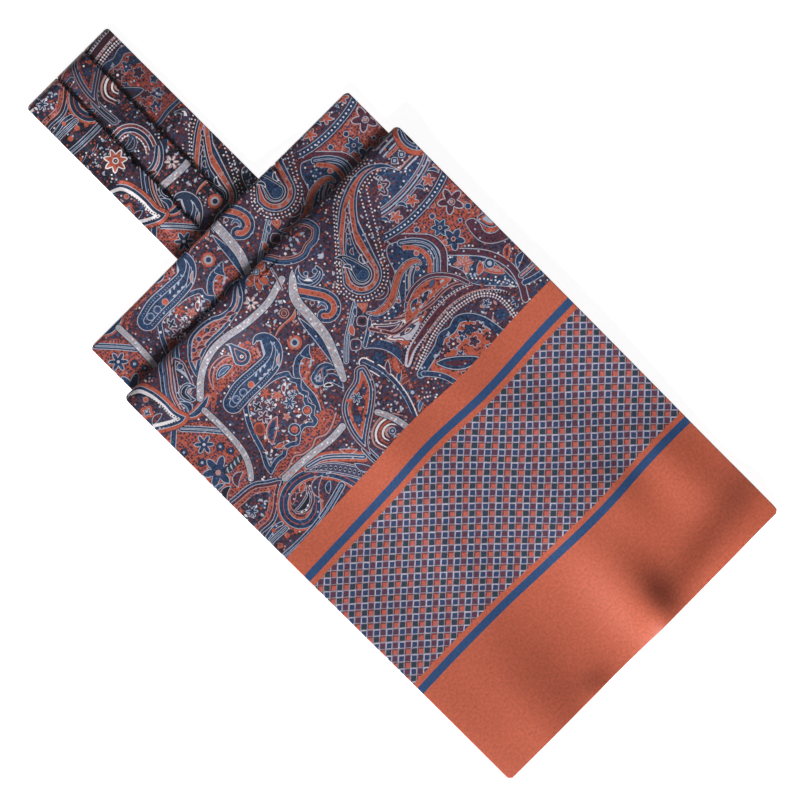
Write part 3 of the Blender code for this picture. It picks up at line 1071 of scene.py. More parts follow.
def draw_striped_leaf(art):
    """The slanted stripes beside it, round a small three-cornered leaf and a curl."""
    art.band("plum 0.6 light 0.27 navy 1.2 light 0.24 blue 0.8 plum 0.7 light 0.24 plum 0.6 pink", 5.0,
             [(-65, 33.5), (-62.3, 41), (-57, 48), (-50, 56)])
    art.patch("light 0.27 plum 0.9 light 0.27 dark",
              [(-62.6, 38.3), (-59, 43.5), (-55, 49), (-52, 51), (-50.3, 47.5), (-52, 42),
               (-54.2, 37.6), (-58, 37.2)])
    art.leaf("light 0.24 pink 0.5 ember", 1.5, -61, 40.4, -54, 39.3, bend=-0.25)
    art.leaf("light", 0.5, -54.6, 47.5, -54, 40.5)
    art.ring("light 0.3 navy", (-52.6, 46.8, 1.5))
    art.strand("light 0.3 navy 0.6 light 0.24 ink",
               [(-54.2, 36.8, 0.5), (-56.2, 39.3, 1.5), (-59.4, 38.4, 1.9), (-59.2, 35, 1.5),
                (-57.8, 33.2, 0.4)])
    art.strand("light 0.3 navy", [(-62.6, 36.6, 0.4), (-61.2, 33.4, 1.3), (-63, 30.6, 0.8)])


def draw_top_left_blade(art):
    """The long scalloped leaf above the upper ribbon, with a row of plum leaves in it."""
    art.patch("light 0.27 navy 1.1 light 0.27 pink 0.3 fleck 1.7 pink 0.35 ground",
              [(-50.8, 39), (-49.2, 45), (-46.2, 49), (-41.8, 52), (-36, 52.6), (-30, 51.6),
               (-25.5, 49.8), (-19.5, 50.2), (-12, 56), (-12.6, 51.5), (-17.5, 46.6), (-24, 45),
               (-30, 44.4), (-38, 44.6), (-45, 42.4)])
    for x, y in ((-46, 43.6), (-41.5, 45.6), (-37, 46.6), (-32.5, 46.8), (-28, 46.4), (-23.5, 46.6)):
        art.leaf("pink 0.3 plum", 0.95, x - 2.2, y + 1.4, x + 2.2, y - 0.6)
    for x, y in ((-44, 47.6), (-39.5, 49.2), (-34.6, 49.3)):
        art.ring("pink 0.4 navy", (x, y, 1.3))


def draw_upper_grounds(art):
    """The grounds below the upper ribbon, with a leaf, a drop and strewn small leaves."""
    flecked = [(-57, 24), (-52.5, 30), (-49.5, 34), (-44, 38.5), (-37, 36.6), (-29, 36), (-24, 33.5),
               (-20, 27), (-36, 27.5), (-49, 28)]
    art.patch("fleck", flecked)
    art.strand("pink 0.45 plum 0.9 ember",
               [(-49.6, 31, 0.4), (-47, 35, 0.9), (-43, 37.3, 1.0), (-38, 37.2, 0.9), (-34.6, 35, 0.4)])
    art.leaf("light 0.3 navy 0.7 light 0.24 blue", 1.9, -46, 32.7, -37.2, 32.2)
    art.strand("light 0.33 navy 1.3 pink 0.4 navy",
               [(-32.4, 32.3, 3.8), (-32.2, 35.2, 2.7), (-32, 38.2, 0.9), (-33.4, 40, 0.2)])
    art.ring("white 0.3 ember", (-32.3, 32.2, 0.8))
    ground = [(-28, 39.5), (-15, 38.8), (-4, 40), (-2.4, 34), (-3.5, 28), (-12, 27), (-20, 28)]
    art.patch("ground", ground)
    art.strew(ground, 3.2, "light", "rust", "light 0.24 navy")
    art.strand("ink 0.4 pink 0.5 ember", [(-20, 26.6, 0.5), (-14, 28.8, 1.3), (-7, 28.6, 1.4),
                                           (-3.4, 30.6, 0.5)])
    art.ring("plum 0.5 pink 0.4 ink 0.5 pink 0.3 plum", (-8, 32.4, 2.6))


def draw_lying_boteh(art):
    """The large navy boteh that lies on its side, and its curled tip."""
    spine = [(-48, 21.4, 4.2), (-41.5, 22.3, 4.7), (-33, 22, 4.5), (-25.4, 22.3, 4.0),
             (-20.6, 25.6, 3.2), (-20, 30.4, 2.2), (-22.6, 33.2, 1.3), (-25.4, 32.4, 0.5)]
    art.strand("plum 0.4 light 0.33 navy 2.2 light 0.27 navy", [(x, y, r + 0.4) for x, y, r in spine])
    for side in (1, -1):
        art.dots("light", 0.2, 1.1, [(x, y + side * (r - 1.5)) for x, y, r in spine[:4]])
    for x in (-46, -42):
        art.ring("light 0.25 blue 0.5 navy", (x, 21.6, 1.7))
    art.ring("pink 0.35 ember", (-37.6, 21.6, 1.5))
    for x in (-34, -31.6, -29.2):
        art.leaf("light", 0.4, x, 22.4, x + 1.6, 23.4)
        art.leaf("light", 0.4, x, 20.8, x + 1.6, 20.2)
    art.strand("light 0.25 navy", [(-27, 19.8, 0.4), (-23.6, 21.2, 1.0), (-20.6, 24, 0.4)])
    art.leaf("light 0.24 pink", 0.7, -24.6, 18.6, -20.6, 22.4)
    art.strew([(-28, 27), (-24, 28), (-24, 31), (-28, 31)], 1.9, "ember", "pink", "light")


def draw_medallion(art):
    """The great medallion at the left, its leaf, its heart and its scalloped skirt."""
    art.patch("fleck", [(-56, -8), (-40, -5), (-24, -6), (-21.5, -13), (-27, -14.4), (-40, -14),
                         (-55, -13.6)])
    art.band("plum 0.4 pink", 0.75, [(-56, -12.4), (-51, -12.6), (-46, -11), (-42.6, -12.8),
                                     (-38, -13.4), (-34.4, -12), (-30.6, -13.7), (-26.6, -13),
                                     (-21.6, -10.6)])
    outline = [(-44.6, 19), (-36, 19.2), (-28.6, 18.2), (-23, 15.2), (-23.4, 12), (-21.4, 9),
               (-24, 6), (-23, 3), (-25.8, 0.6), (-25, -2.8), (-27.8, -5), (-28.4, -7.8),
               (-31.6, -8.6), (-34.4, -6.2), (-37.4, -7), (-41, -9.4),
               (-45, -7.4), (-48, -9), (-52.4, -8.6), (-57.6, -10), (-57.4, -5.4), (-54.6, 0),
               (-53, 5.4), (-51, 10.6), (-48.4, 15.2)]
    art.patch("plum 0.3 light 0.27 navy 1.6 light 0.27 ground", outline)
    heart = [(x + (-38 - x) * 0.16, y + (5 - y) * 0.16) for x, y in outline]
    art.strew(heart, 2.0, "white", "rust", "pale 0.25 plum", "pink 0.25 ember", "ember", "light 0.25 navy",
              "plum", "dusk")
    art.patch("ember 0.8 rust", [(-50.4, 7), (-48, 9.4), (-45.4, 8), (-46, 5), (-49, 4)])
    art.flower("rust 0.4 ember 0.9 rust", -36, 15, 2.6, 5)
    art.flower("pink 0.3 ember 0.6 rust", -33.2, 11, 2.3, 5)
    art.leaf("pale 0.3 rust", 0.9, -31, 9.4, -26.8, 12.6)
    art.flower("pale 0.3 plum 0.8 ember", -43.2, 9, 2.8, 5)
    art.flower("light 0.27 navy", -31.8, 5.6, 2.7, 6)
    art.leaf("plum 0.2 light 0.3 ember 0.6 navy", 2.4, -49, -2, -38.6, 5.4)
    art.ring("light", (-43, 2.2, 0.6))
    art.flower("light 0.3 plum 0.7 ember", -38.2, 10, 2.2, 5)
    art.flower("light 0.3 ink", -42, 13.6, 2.2, 4)
    art.ring("light 0.3 navy 0.8 ember", (-38, -3.4, 2.6))
    art.ring("light 0.33 plum 0.4 ember", (-29, -1.6, 2.1))
    art.leaf("light 0.27 ember", 1.2, -44.6, -4, -48.8, -3)
    art.flower("pink 0.4 ember", -36.6, 2.4, 1.8, 5)
    art.flower("light 0.3 navy", -28.4, 7.2, 1.9, 5)
    art.ring("white", (-36.4, 9, 0.6), (-33.2, 14, 0.5), (-28, 12, 0.6), (-30.6, 10, 0.5))
    art.ring("white", (-33.2, -1, 0.5), (-31, 1, 0.5), (-47.6, 14.4, 0.6), (-25.4, 12.6, 0.5))


def draw_left_leaf_and_ring(art):
    """The pointed leaf at the left edge and the orange ring with its tail below."""
    plain = [(-84, -20), (-66, -20), (-58, -16), (-40, -17), (-28, -26), (-20, -30), (-22, -40),
             (-84, -40)]
    art.patch("ground", plain)
    art.patch("light 0.27 navy 0.9 light 0.27 plum 1.1 pink 0.35 fleck 1.5 pink 0.35 dark",
              [(-84, -6.4), (-72, -5.4), (-65, -6.6), (-60.4, -9.8), (-54.8, -14.1), (-60.4, -18),
               (-65, -21.8), (-70, -24.2), (-76, -24), (-84, -23)])
    art.flower("light 0.3 navy 0.7 light", -73.4, -14.6, 2.6, 6)
    art.strew([(-79, -11), (-71, -10), (-65, -12), (-62, -14), (-66, -18), (-72, -20), (-79, -19)], 2.1,
              "light 0.25 navy", "ember", "white", "blue", "plum")
    tail = [(-35.6, -37), (-37.6, -30.4), (-41.6, -24.2), (-47, -19.8), (-54, -18.2), (-60.6, -20),
            (-64.8, -25), (-64.4, -30.6), (-60.6, -33.6), (-55.4, -32.8), (-52, -29.6)]
    art.band("ember 0.9 light 0.24 navy 1.5 ember 0.7 rust", 2.8, tail)
    art.patch("pink 0.3 ground", [(-61, -24), (-56, -22), (-51, -25), (-52, -29), (-57, -31), (-61, -28.6)])
    art.strand("light 0.24 plum 0.5 light 0.24 ink",
               [(-60.4, -27.4, 1.2), (-57, -28, 2.0), (-53, -26.4, 1.4), (-50.4, -23, 0.3)])
    art.ring("white", (-59.4, -29, 0.5), (-57.6, -29.6, 0.5), (-55.8, -28.8, 0.5))
    art.leaf("pink 0.3 plum", 1.2, -60, -24.4, -55.4, -21.6)
    art.leaf("light 0.27 ember", 1.3, -54.4, -23.6, -50, -21.6)
    art.strew([(-52, -33), (-42, -31), (-40, -24), (-46, -21)], 2.4, "light 0.24 navy", "pink", "rust")
    art.leaf("light 0.27 plum 0.7 navy", 1.6, -50.6, -30, -43, -24.4, bend=0.25)
    art.leaf("light 0.27 navy", 1.2, -46.6, -31.6, -42.4, -28)
    edge = [(-84, -36), (-72, -37), (-62, -37), (-54, -36), (-47, -34.4), (-40.4, -32.6)]
    art.band("light 0.3 navy 0.8 light 0.24 navy", 1.5, edge)
    art.band("light 0.3 navy 0.5 light 0.24 ink", 1.2, [(-84, -29.4), (-76, -28.6), (-68.6, -29)])
    art.band("light 0.3 navy", 0.9, [(-84, -26), (-78, -26.4), (-72, -25.6), (-68.4, -26.4)])
    art.ring("ember", (-72.6, -26.2, 0.9), (-70.2, -31.4, 1.2), (-75, -32.4, 1.2), (-66.6, -33, 1.0))


def draw_striped_corner(art):
    """The slanted bands between the orange ring and the broad leaf."""
    art.band("plum 0.5 ember 1.0 light 0.27 navy 0.6 light 0.24 navy", 2.6,
             [(-45, -17.6), (-38, -19.6), (-31.6, -25), (-26, -31)])
    art.strand("light 0.27 plum 0.4 light 0.24 dusk",
               [(-47, -18.2, 0.4), (-43, -20.6, 1.5), (-38.6, -24.4, 2.4), (-34.4, -30, 2.6),
                (-29.6, -38, 2.6)])
    art.teeth("light", 1.0, 2.0, [(-43, -20.8), (-38.6, -24.4), (-34.4, -30), (-30, -37.4)])
    art.teeth("ink", 0.6, 2.0, [(-43, -20.8), (-38.6, -24.4), (-34.4, -30), (-30, -37.4)])
    art.leaf("light 0.27 navy 0.5 plum", 1.5, -26.4, -37, -30.6, -30)
    art.leaf("light 0.27 ember", 1.1, -25.6, -27, -31, -21.6)


def draw_upper_middle(art):
    """The flowers over the upper ribbon and the curls at its right."""
    ground = [(-18, 47.4), (-12, 53), (-10, 58), (2, 58), (1.4, 48), (-3, 43.6), (-9, 41.6), (-16, 41.4),
              (-26, 42.6), (-24, 44.6)]
    art.patch("ground", ground)
    art.strew(ground, 3.0, "light", "rust", "light 0.24 navy")
    art.patch("navy", [(-14, 50), (-11.6, 56), (-7.6, 56), (-8.4, 52.4), (-12, 50)])
    art.flower("pink 0.35 white 0.9 pink", -14.4, 44.6, 3.1, 6, depth=0.35)
    art.ring("navy", (-14.4, 44.6, 0.8))
    for tip_x, tip_y in ((-11.4, 50.2), (-8.9, 45), (-4.2, 44.4), (0.4, 48), (1.6, 53)):
        art.leaf("light 0.27 plum 0.25 ember", 1.75, -4.4, 51, tip_x, tip_y, bend=0.0)
    art.ring("ink 0.3 light 0.27 navy 0.4 light", (-4.2, 51.6, 1.6))
    outline = [(0.6, 55), (2.6, 50), (6, 45.6), (10.2, 42.8), (14.4, 41.8), (18, 42.9), (22, 43.2),
               (26.2, 46.6), (26, 51), (23, 55), (17, 60), (6, 60)]
    art.patch("light 0.24 navy 0.9 blue 0.7 ink 0.3 pink 0.4 plum 0.5 pink 0.3 ground", outline)
    art.strew([(6, 51), (12, 46), (20, 47), (22, 51), (18, 54), (8, 54)], 2.2, "white", "ember", "pink",
              "light 0.25 navy")


def draw_ribbons(art):
    """The pale ribbons of the upper half."""
    draw_ribbon(art, 1.2, [(-58.2, 27.6), (-58, 18), (-58.4, 9), (-59.6, 3), (-62, -2), (-64.4, -5)])
    draw_ribbon(art, 1.4, [(-56, 32.2), (-50.4, 37.4), (-44.8, 40.6), (-38, 42.3), (-31, 42),
                           (-24, 40.6), (-16, 39.8), (-9, 40), (-3, 41.6), (1, 42.6)])
    art.strand("ink 0.3 light 0.24 ribbon",
               [(6.6, 42.4, 0.4), (4.4, 40, 1.6), (0.2, 35, 2.2), (-1.2, 31, 2.2), (-1.6, 25, 2.2),
                (-2, 19, 2.2), (-2.8, 13.6, 2.1), (-4.8, 8, 2.0), (-7.4, 2, 2.0), (-9.8, -3, 1.6)])
    art.band("light 0.24 plum", 0.5, [(-1.8, 39.6), (-0.2, 44), (1, 48.6)])
    draw_ribbon(art, 1.4, [(-54.6, -14.6), (-46, -14.8), (-38, -15.6), (-30, -16.6), (-23.6, -16.2)])


def draw_centre(art):
    """The plum ground left of the middle ribbon, its hook, its curl and its spots."""
    ground = [(-19, 27.4), (-7, 28), (-4, 20), (-6.6, 8), (-10, 0), (-17, -7), (-27, -7), (-22, 4),
              (-20.6, 14), (-16, 19)]
    art.patch("ground", ground)
    art.patch("fleck", [(-20, 14), (-14, 14.6), (-8, 13), (-9, 8), (-16, 9.4), (-20, 2), (-22.6, -4),
                         (-24, -6), (-23, 4)])
    art.strew(ground, 3.0, "light 0.25 navy", "rust", "pink 0.25 ember", "light")
    art.strand("light 0.3 navy", [(-5.2, 27, 0.3), (-5.3, 22, 1.2), (-5.4, 17, 1.6), (-6.4, 11, 1.4),
                                  (-7.8, 5, 0.8)])
    art.ring("plum 0.2 ember 0.9 pink 0.5 light 0.5 navy", (-13.3, 21.1, 3.2))
    art.band("light 0.3 navy", 1.4, [(-30, -10), (-26, -4.6), (-23.7, 0.6), (-23.2, 7), (-21.4, 12),
                                     (-17.2, 15.2), (-13, 15.4)])
    art.patch("light 0.27 navy", [(-15, 16.4), (-9.6, 16.8), (-12, 13.8), (-13, 11.6), (-14.6, 14)])
    art.strand("light 0.3 navy 1.0 blue 0.5 pink 0.3 plum 0.5 light 0.25 navy",
               [(-16.4, 4.2, 3.4), (-13.2, 6, 2.1), (-10.4, 4.8, 1.5), (-8.8, 1.4, 0.3)])
    art.flower("light 0.3 navy", -16.8, 4.4, 1.6, 6)
    art.strand("light 0.3 navy 0.9 plum",
               [(-17.6, -1, 0.4), (-15.6, 1, 1.3), (-13, 1, 1.9), (-12, -2, 1.7), (-12.4, -5.6, 0.3)])
    art.leaf("white 0.35 ink", 0.9, -17.6, 0.6, -14.4, -2)


def draw_right_of_ribbon(art):
    """The curl, the orange hook and the dotted lines right of the middle ribbon."""
    ground = [(4, 38), (8, 42), (14, 41), (24, 42), (21, 34), (17, 27), (18, 20), (8, 8), (0, 2), (-3, 5),
              (0, 16), (0.6, 30)]
    art.patch("ground", ground)
    art.strew(ground, 3.6, "dusk", "rust", "plum", "light")
    art.strand("light 0.3 navy 0.8 light 0.24 navy",
               [(14.2, 36.2, 0.8), (13.8, 33.9, 1.4), (11, 32.8, 1.7), (7.8, 33.9, 2.0), (6, 37, 1.8),
                (7.4, 40.4, 0.9), (9.6, 41.6, 0.3)])
    art.ring("light 0.27 navy", (12.6, 35.6, 1.2), (9.4, 37.4, 1.1))
    art.leaf("white", 0.5, 6.8, 36, 9.2, 33.4)
    art.band("light 0.3 navy 1.3 pink 0.3 ember", 2.8,
             [(2.4, 35), (5.4, 30.6), (8.2, 26.2), (9, 22.2), (7.4, 19.4), (4.4, 18.8), (2.6, 20.4)])
    art.strand("light 0.24 blue", [(3.2, 24.6, 0.3), (5.4, 24.8, 0.8), (6, 22.6, 0.6), (4.8, 21.4, 0.3)])
    art.ring("light 0.24 plum", (3, 27.4, 1.1))
    art.ring("ember", (11.8, 28.6, 0.7), (13.6, 19.6, 0.6), (2, 13.6, 0.6), (8, 14.4, 0.6))


def draw_middle_fan(art):
    """The double line and the leaves that fan out below it."""
    ground = [(-5, 1), (4, 8.6), (12, 14), (18.6, 17.6), (18.8, 12), (14, 7), (22, 0), (28, -5),
              (30, -9), (16, -14), (13.6, -4), (6, -0.6)]
    art.patch("dark", ground)
    art.band("plum 0.2 light 0.3 navy 0.45 light 0.24 navy", 1.3,
             [(-4, 1.2), (2.6, 7.4), (8, 10.8), (13, 14), (18.4, 17)])
    art.band("light 0.3 navy", 0.9, [(5.6, 0.4), (10.6, 3.4), (15.4, 6.8)])
    art.patch("light 0.3 plum 0.9 navy", [(0.6, 3), (3.4, 6), (6.2, 3.2), (3.4, 0.6)])
    art.leaf("light 0.3 ember", 1.3, 5.4, 6.2, 8.2, 10.2)
    art.patch("light 0.27 plum 0.8 ink", [(9.4, 8.4), (12, 10.6), (14.4, 8), (11.8, 5.6)])
    art.leaf("pink 0.35 ember 0.8 pink 0.3 ember", 2.0, 15, 10, 17.6, 16.6, bend=-0.1)
    art.leaf("light 0.24 navy", 0.9, 11.4, 11, 14.2, 14)
    art.leaf("light 0.27 blue", 0.9, 11, 1, 13.6, 3.4)
    art.strew([(14, 4), (20, 2), (28, -3), (30, -5), (30, -9), (15, -13)], 2.0, "white", "plum", "rust",
              "pale 0.25 plum")
    art.strand("white 0.25 plum 0.6 pale 0.3 plum",
               [(13.6, 4.4, 0.3), (14.8, 1.4, 1.6), (17, -1.4, 2.1), (20.4, -3, 1.4), (24, -3.4, 0.3)])
    art.strand("pale 0.25 rust 0.4 pink", [(24, -1.4, 0.3), (27.4, -3, 1.1), (31, -3.6, 0.3)])
    art.patch("pink 0.3 plum 0.3 white 0.5 pink 0.3 plum 0.3 pale",
              [(13.6, -3.4), (19, -3.8), (24, -5), (30, -6.8), (34, -9.4), (30, -11.6), (25, -12.2),
               (20, -13.4), (16, -12.4), (17.4, -9), (15, -6.8)])
    art.leaf("ink 0.3 plum 0.3 navy", 2.0, 18.4, -7, 26, -8.4, bend=0.15)
    art.leaf("white 0.25 rust", 0.7, 20.4, -7.6, 24, -8)
    art.strand("plum 0.25 ember", [(16.4, -7.4, 0.4), (17.8, -10.2, 1.0), (20.6, -11.8, 0.9),
                                   (24.6, -11.2, 0.3)])
    for x in (28.6, 31.4):
        art.leaf("pink 0.24 ember", 0.9, x - 1.4, -10.6, x + 1.6, -6.6, bend=0.0)
    art.band("pink 0.4 plum", 0.9, [(12, 3.6), (15.4, -1.4), (18, -4.8), (24, -5.6), (29, -5.2)])
    art.band("pink 0.4 plum", 0.75, [(15.2, 6), (19.4, 1.6), (24, -2.2), (30, -5), (37, -6.4),
                                     (45, -6.4), (50.6, -8.6), (53.6, -13)])


def draw_broad_leaf(art):
    """The broad pointed leaf in the middle, with its stem, swirls and the ribbon under it."""
    below = [(-23, -28), (-12, -21), (0, -12), (3, -20), (0, -30), (-3, -40), (-26, -40)]
    art.patch("ground", below)
    art.strew(below, 3.0, "light", "pink 0.25 ember", "rust", "light 0.24 navy")
    for radius, dyes in ((8.2, "plum 0.3 pink"), (6.6, "plum 0.3 white"), (5.0, "plum 0.3 ember"),
                         (3.6, "plum 0.3 white"), (2.2, "plum 0.25 pink")):
        arc = [(-11.4 + radius * math.cos(math.radians(a)), -31.6 + 0.85 * radius
                * math.sin(math.radians(a)), 0.4 + 0.35 * math.sin(math.radians(a * 0.8)))
               for a in (10, 50, 90, 130, 170, 215)]
        art.strand(dyes, arc)
    art.ring("light 0.3 navy 0.7 light", (-10.6, -31.6, 1.5))
    draw_ribbon(art, 1.2, [(-9.6, -22), (-7.6, -26), (-6, -31), (-5, -37)])
    art.band("light 0.3 navy 0.6 light 0.24 ink", 1.7, [(-23.4, -29), (-23.5, -34), (-23, -40)])
    art.patch("plum 0.3 light 0.27 plum 0.8 light 0.27 navy 0.9 light 0.27 ember 1.2 rust 0.3 dark",
              [(-23.7, -32.4), (-24.2, -24), (-22.4, -16.6), (-19, -10.8), (-13.6, -7.4), (-7.6, -6),
               (-3.6, -3), (0.4, -5), (-1, -11), (-3.8, -15.6), (-9, -20), (-15, -24), (-20.4, -28)])
    art.flower("light 0.3 navy", -11.4, -12, 2.4, 6)
    art.flower("navy 0.5 blue 0.5 white", -17, -18.6, 2.2, 5)
    art.ring("ember", (-13.4, -16.2, 1.0), (-7.4, -9.4, 1.0), (-8.6, -14.4, 1.1), (-14.6, -10.4, 0.8))
    art.ring("navy", (-6.8, -12, 1.0), (-13.8, -20, 0.9), (-19.4, -15.4, 0.8))


def draw_lower_middle(art):
    """The pale band under the middle, the navy arc beside it and the busy ground between them."""
    ground = [(3, -4), (8, 0), (14, -8), (14, -18), (15, -24), (20, -34), (20, -42), (-2, -42), (2, -28),
              (4, -16)]
    art.patch("ground", ground)
    art.patch("fleck", [(7, -10), (11.6, -12), (13.6, -19), (13.4, -27), (9, -38), (3, -38), (5.6, -28),
                        (7, -18)])
    art.strew(ground, 2.8, "pink 0.25 ember", "light 0.24 navy", "ink", "rust", "plum 0.3 pink")
    art.band("plum 0.3 light 0.3 navy 1.7 light 0.24 navy", 2.3,
             [(3, 3), (8.4, -1), (12, -6), (13.2, -11), (13, -16.4)])
    art.band("white 0.5 plum 0.3 navy 1.2 light 0.24 navy", 2.1,
             [(0.6, -4), (2.8, -11), (3.2, -18), (2.2, -25), (0.2, -31), (-3, -38)])
    art.flower("ink 0.4 navy", 6.4, -7, 3.3, 6, depth=0.15)
    art.leaf("light 0.27 plum", 1.1, 4.6, -15.4, 8.4, -10.2)
    art.leaf("light 0.27 navy", 1.0, 5, -20, 9, -17)
    art.leaf("rust 0.25 ember", 1.4, 8, -18, 11.4, -11)
    art.leaf("rust 0.25 ember", 1.3, 5, -28.6, 10.4, -26)
    art.leaf("pink 0.25 rust", 1.1, 4.6, -21, 10.6, -22)
    art.ring("navy 0.8 light", (6, -26.4, 1.6), (10.4, -22, 1.3), (4.6, -32, 1.5), (8, -33, 1.4))
    art.ring("light", (12.8, -28.6, 0.8), (16, -32, 0.8))
    art.leaf("light 0.27 blue", 0.9, 2.4, -34, 8, -31.4)
    art.band("light 0.33 navy", 1.6, [(13.6, -22), (17, -27), (19.6, -31.4), (20.4, -37)])


def draw_orange_boteh(art):
    """The great boteh that rises from the middle and bends over to the right, with dotted edges."""
    spine = [(25, 21.6, 8.2), (26.6, 27, 7.3), (30.2, 33.4, 5.6), (35.8, 40, 4.2), (42, 45.6, 3.1),
             (49, 49, 2.0), (56.4, 49.4, 1.4), (62, 46.2, 0.9), (65, 41, 0.3)]
    wide = [(x, y, radius + 3.4) for x, y, radius in spine[:6]] + [(58, 50, 2.6)]
    art.strand("ground", wide)
    for extra in (1.0, 2.5):
        outline = envelope(curve([(x, y, radius + extra) for x, y, radius in spine[:7]]))
        art.beads("white", 0.38, 1.55, outline)
    art.strand("light 0.3 navy 0.8 pink 0.3 ember 1.4 light 0.3 plum 0.8 light 0.27 navy", spine)
    art.strand("light 0.27 ink 0.6 light 0.24 navy",
               [(25.2, 21.4, 3.9), (25.2, 27, 2.4), (24.4, 31.6, 1.2), (22.2, 33.6, 0.3)])
    art.ring("blue 0.3 navy 0.7 blue 0.3 navy", (25.2, 20.8, 2.0))
    art.strand("white 0.25 navy", [(21.8, 28.6, 0.3), (23, 28.4, 0.8), (23.8, 27, 0.8), (23.4, 25.4, 0.2)])
    art.strand("white 0.25 navy", [(30.6, 27.2, 0.3), (29.4, 26.6, 0.8), (28.6, 25, 0.8), (29.2, 23.6, 0.2)])
    for x, y in ((29.4, 30), (31.4, 33.6), (34, 37), (36.8, 40.2), (39.8, 43)):
        art.leaf("light 0.24 plum", 0.8, x - 1.0, y - 1.0, x + 0.8, y + 1.6, bend=0.3)
    for x, y in ((22.2, 15.6), (26.4, 14.9), (30.4, 17.4), (32, 21.6), (33.2, 26)):
        art.leaf("pink 0.25 plum", 0.7, x - 0.8, y, x + 0.8, y + 0.8)


def draw_head_ground(art):
    """The dark ground in the bend of the great boteh, with a small open flower."""
    outline = [(38.6, 37), (40.6, 42), (44.6, 46), (50, 48.4), (57, 48.2), (62.6, 44.6), (66, 39.6),
               (78, 37), (80, 33), (70, 32), (58, 31), (48, 33), (42, 35)]
    art.patch("night", outline)
    art.leaf("pink 0.2 ember", 1.0, 49.6, 47, 54.4, 46.6)
    art.leaf("pink 0.2 ember", 0.8, 57, 47, 60.4, 45.6)
    art.flower("light 0.3 plum 1.0 light 0.24 ink", 55, 41.2, 4.6, 5, depth=0.2, turn=0.9)
    art.ring("light 0.27 ember", (55, 41.2, 1.2))
    art.leaf("light 0.27 plum", 1.2, 46.4, 37, 50.6, 42.6, bend=0.3)
    art.leaf("light 0.27 navy", 1.1, 47.6, 44.8, 50.2, 41)
    art.ring("navy", (67, 35.8, 1.6), (71, 36.6, 1.4), (44, 41.4, 1.2), (62.6, 39, 1.2))
    art.band("light 0.3 blue 0.5 pink 0.4 navy 0.7 light 0.3 navy", 2.2,
             [(37.6, 38.4), (43, 35), (50, 32.8), (59, 32.2), (67, 32.9), (73.6, 34.4), (81, 37.6)])


def draw_leaf_border(art):
    """The plum border at the right, with its row of small flowers and its dotted lower edge."""
    ground = [(38, 33.6), (46, 31.6), (58, 30), (68, 30.8), (80, 34), (80, 26), (70, 25), (58, 24.4),
              (46, 26), (37, 30)]
    art.patch("ground", ground)
    for x, y in ((42.4, 30.2), (51.2, 28), (60.4, 28.2), (70.8, 29.4), (78, 30.4)):
        art.flower("light 0.27 ember 0.9 pink", x, y, 2.9, 5, depth=0.28, turn=0.4 * x)
    for x, y in ((46.6, 30.4), (55.8, 29.8), (65.8, 29.6), (74.6, 30.6)):
        art.leaf("light 0.25 navy", 0.8, x - 1.6, y + 1.8, x + 1.2, y - 2.4, 0.25)
    edge = [(35.4, 30), (39, 27), (45, 24.6), (54, 23.2), (64, 23.4), (72, 24.8), (81, 28)]
    art.band("plum 0.7 light 0.24 navy", 2.2, edge)
    art.dots("white", 0.42, 1.75, edge)


def draw_top_right(art):
    """The hatched ground at the top right and the orange ring at its edge."""
    ground = [(61, 56), (80, 56), (80, 38), (67, 39.6), (63.6, 46)]
    art.patch("ground", ground)
    for y, dyes in ((52.6, "grey"), (50.8, "light"), (49, "light"), (40.8, "pink"), (39.2, "light")):
        art.band(dyes, 0.35, [(64.6, y - 0.3), (69, y), (74.6, y)])
    art.band("pink 0.3 ember", 0.7, [(66, 47.6), (70, 47.4), (73, 47.8)])
    for x, y in ((66.6, 44.4), (70.4, 44.2)):
        art.patch("light 0.3 navy 0.6 light", [(x - 1.7, y), (x, y + 1.7), (x + 1.7, y), (x, y - 1.7)])
    art.ring("plum 0.3 ember 1.9 light 0.27 navy 1.0 light 0.24 navy 0.8 light 0.24 ink",
             (82, 46.4, 10.4))


def draw_right_ground(art):
    """The flecked orange ground at the right, with its flowers."""
    ground = [(44, 23.4), (56, 22.6), (70, 23.6), (84, 27), (84, 2), (66, 0), (56, 4), (56, 14)]
    art.patch("fleck", ground)
    art.flower("pink 0.2 light 0.33 plum", 71.2, 17, 5.8, 5, depth=0.26, turn=1.3)
    art.ring("light 0.3 plum 0.4 pink", (71.2, 16.6, 1.5))
    art.flower("ink 0.3 light 0.3 navy 1.0 light 0.24 plum", 60.6, 12.6, 4.2, 6, depth=0.2)
    art.flower("light 0.3 navy", 61.2, 5.4, 4.8, 5, depth=0.25, turn=0.3)
    art.ring("pink 0.5 plum", (61.2, 5.6, 1.1))
    art.ring("light 0.27 navy", (74.6, 10.8, 1.4), (53.4, 18.6, 1.3), (61.6, 18, 1.3), (68.4, 9, 1.0))
    art.ring("pink 0.4 ember", (57.6, 7, 1.3), (65, 21, 1.2))
    art.patch("plum 0.2 light 0.3 plum 2.4 light 0.27 navy",
              [(69, 7), (72.6, 6.4), (73.6, 3), (72.6, -1), (75, -4), (84, -5), (84, -12), (74, -9),
               (69, -5), (67.6, 0)])
    art.patch("light 0.3 navy 0.6 ember 0.8 light", [(74, 5), (79, 4), (84, 3), (84, -3), (77, -3),
                                                      (74, 0)])


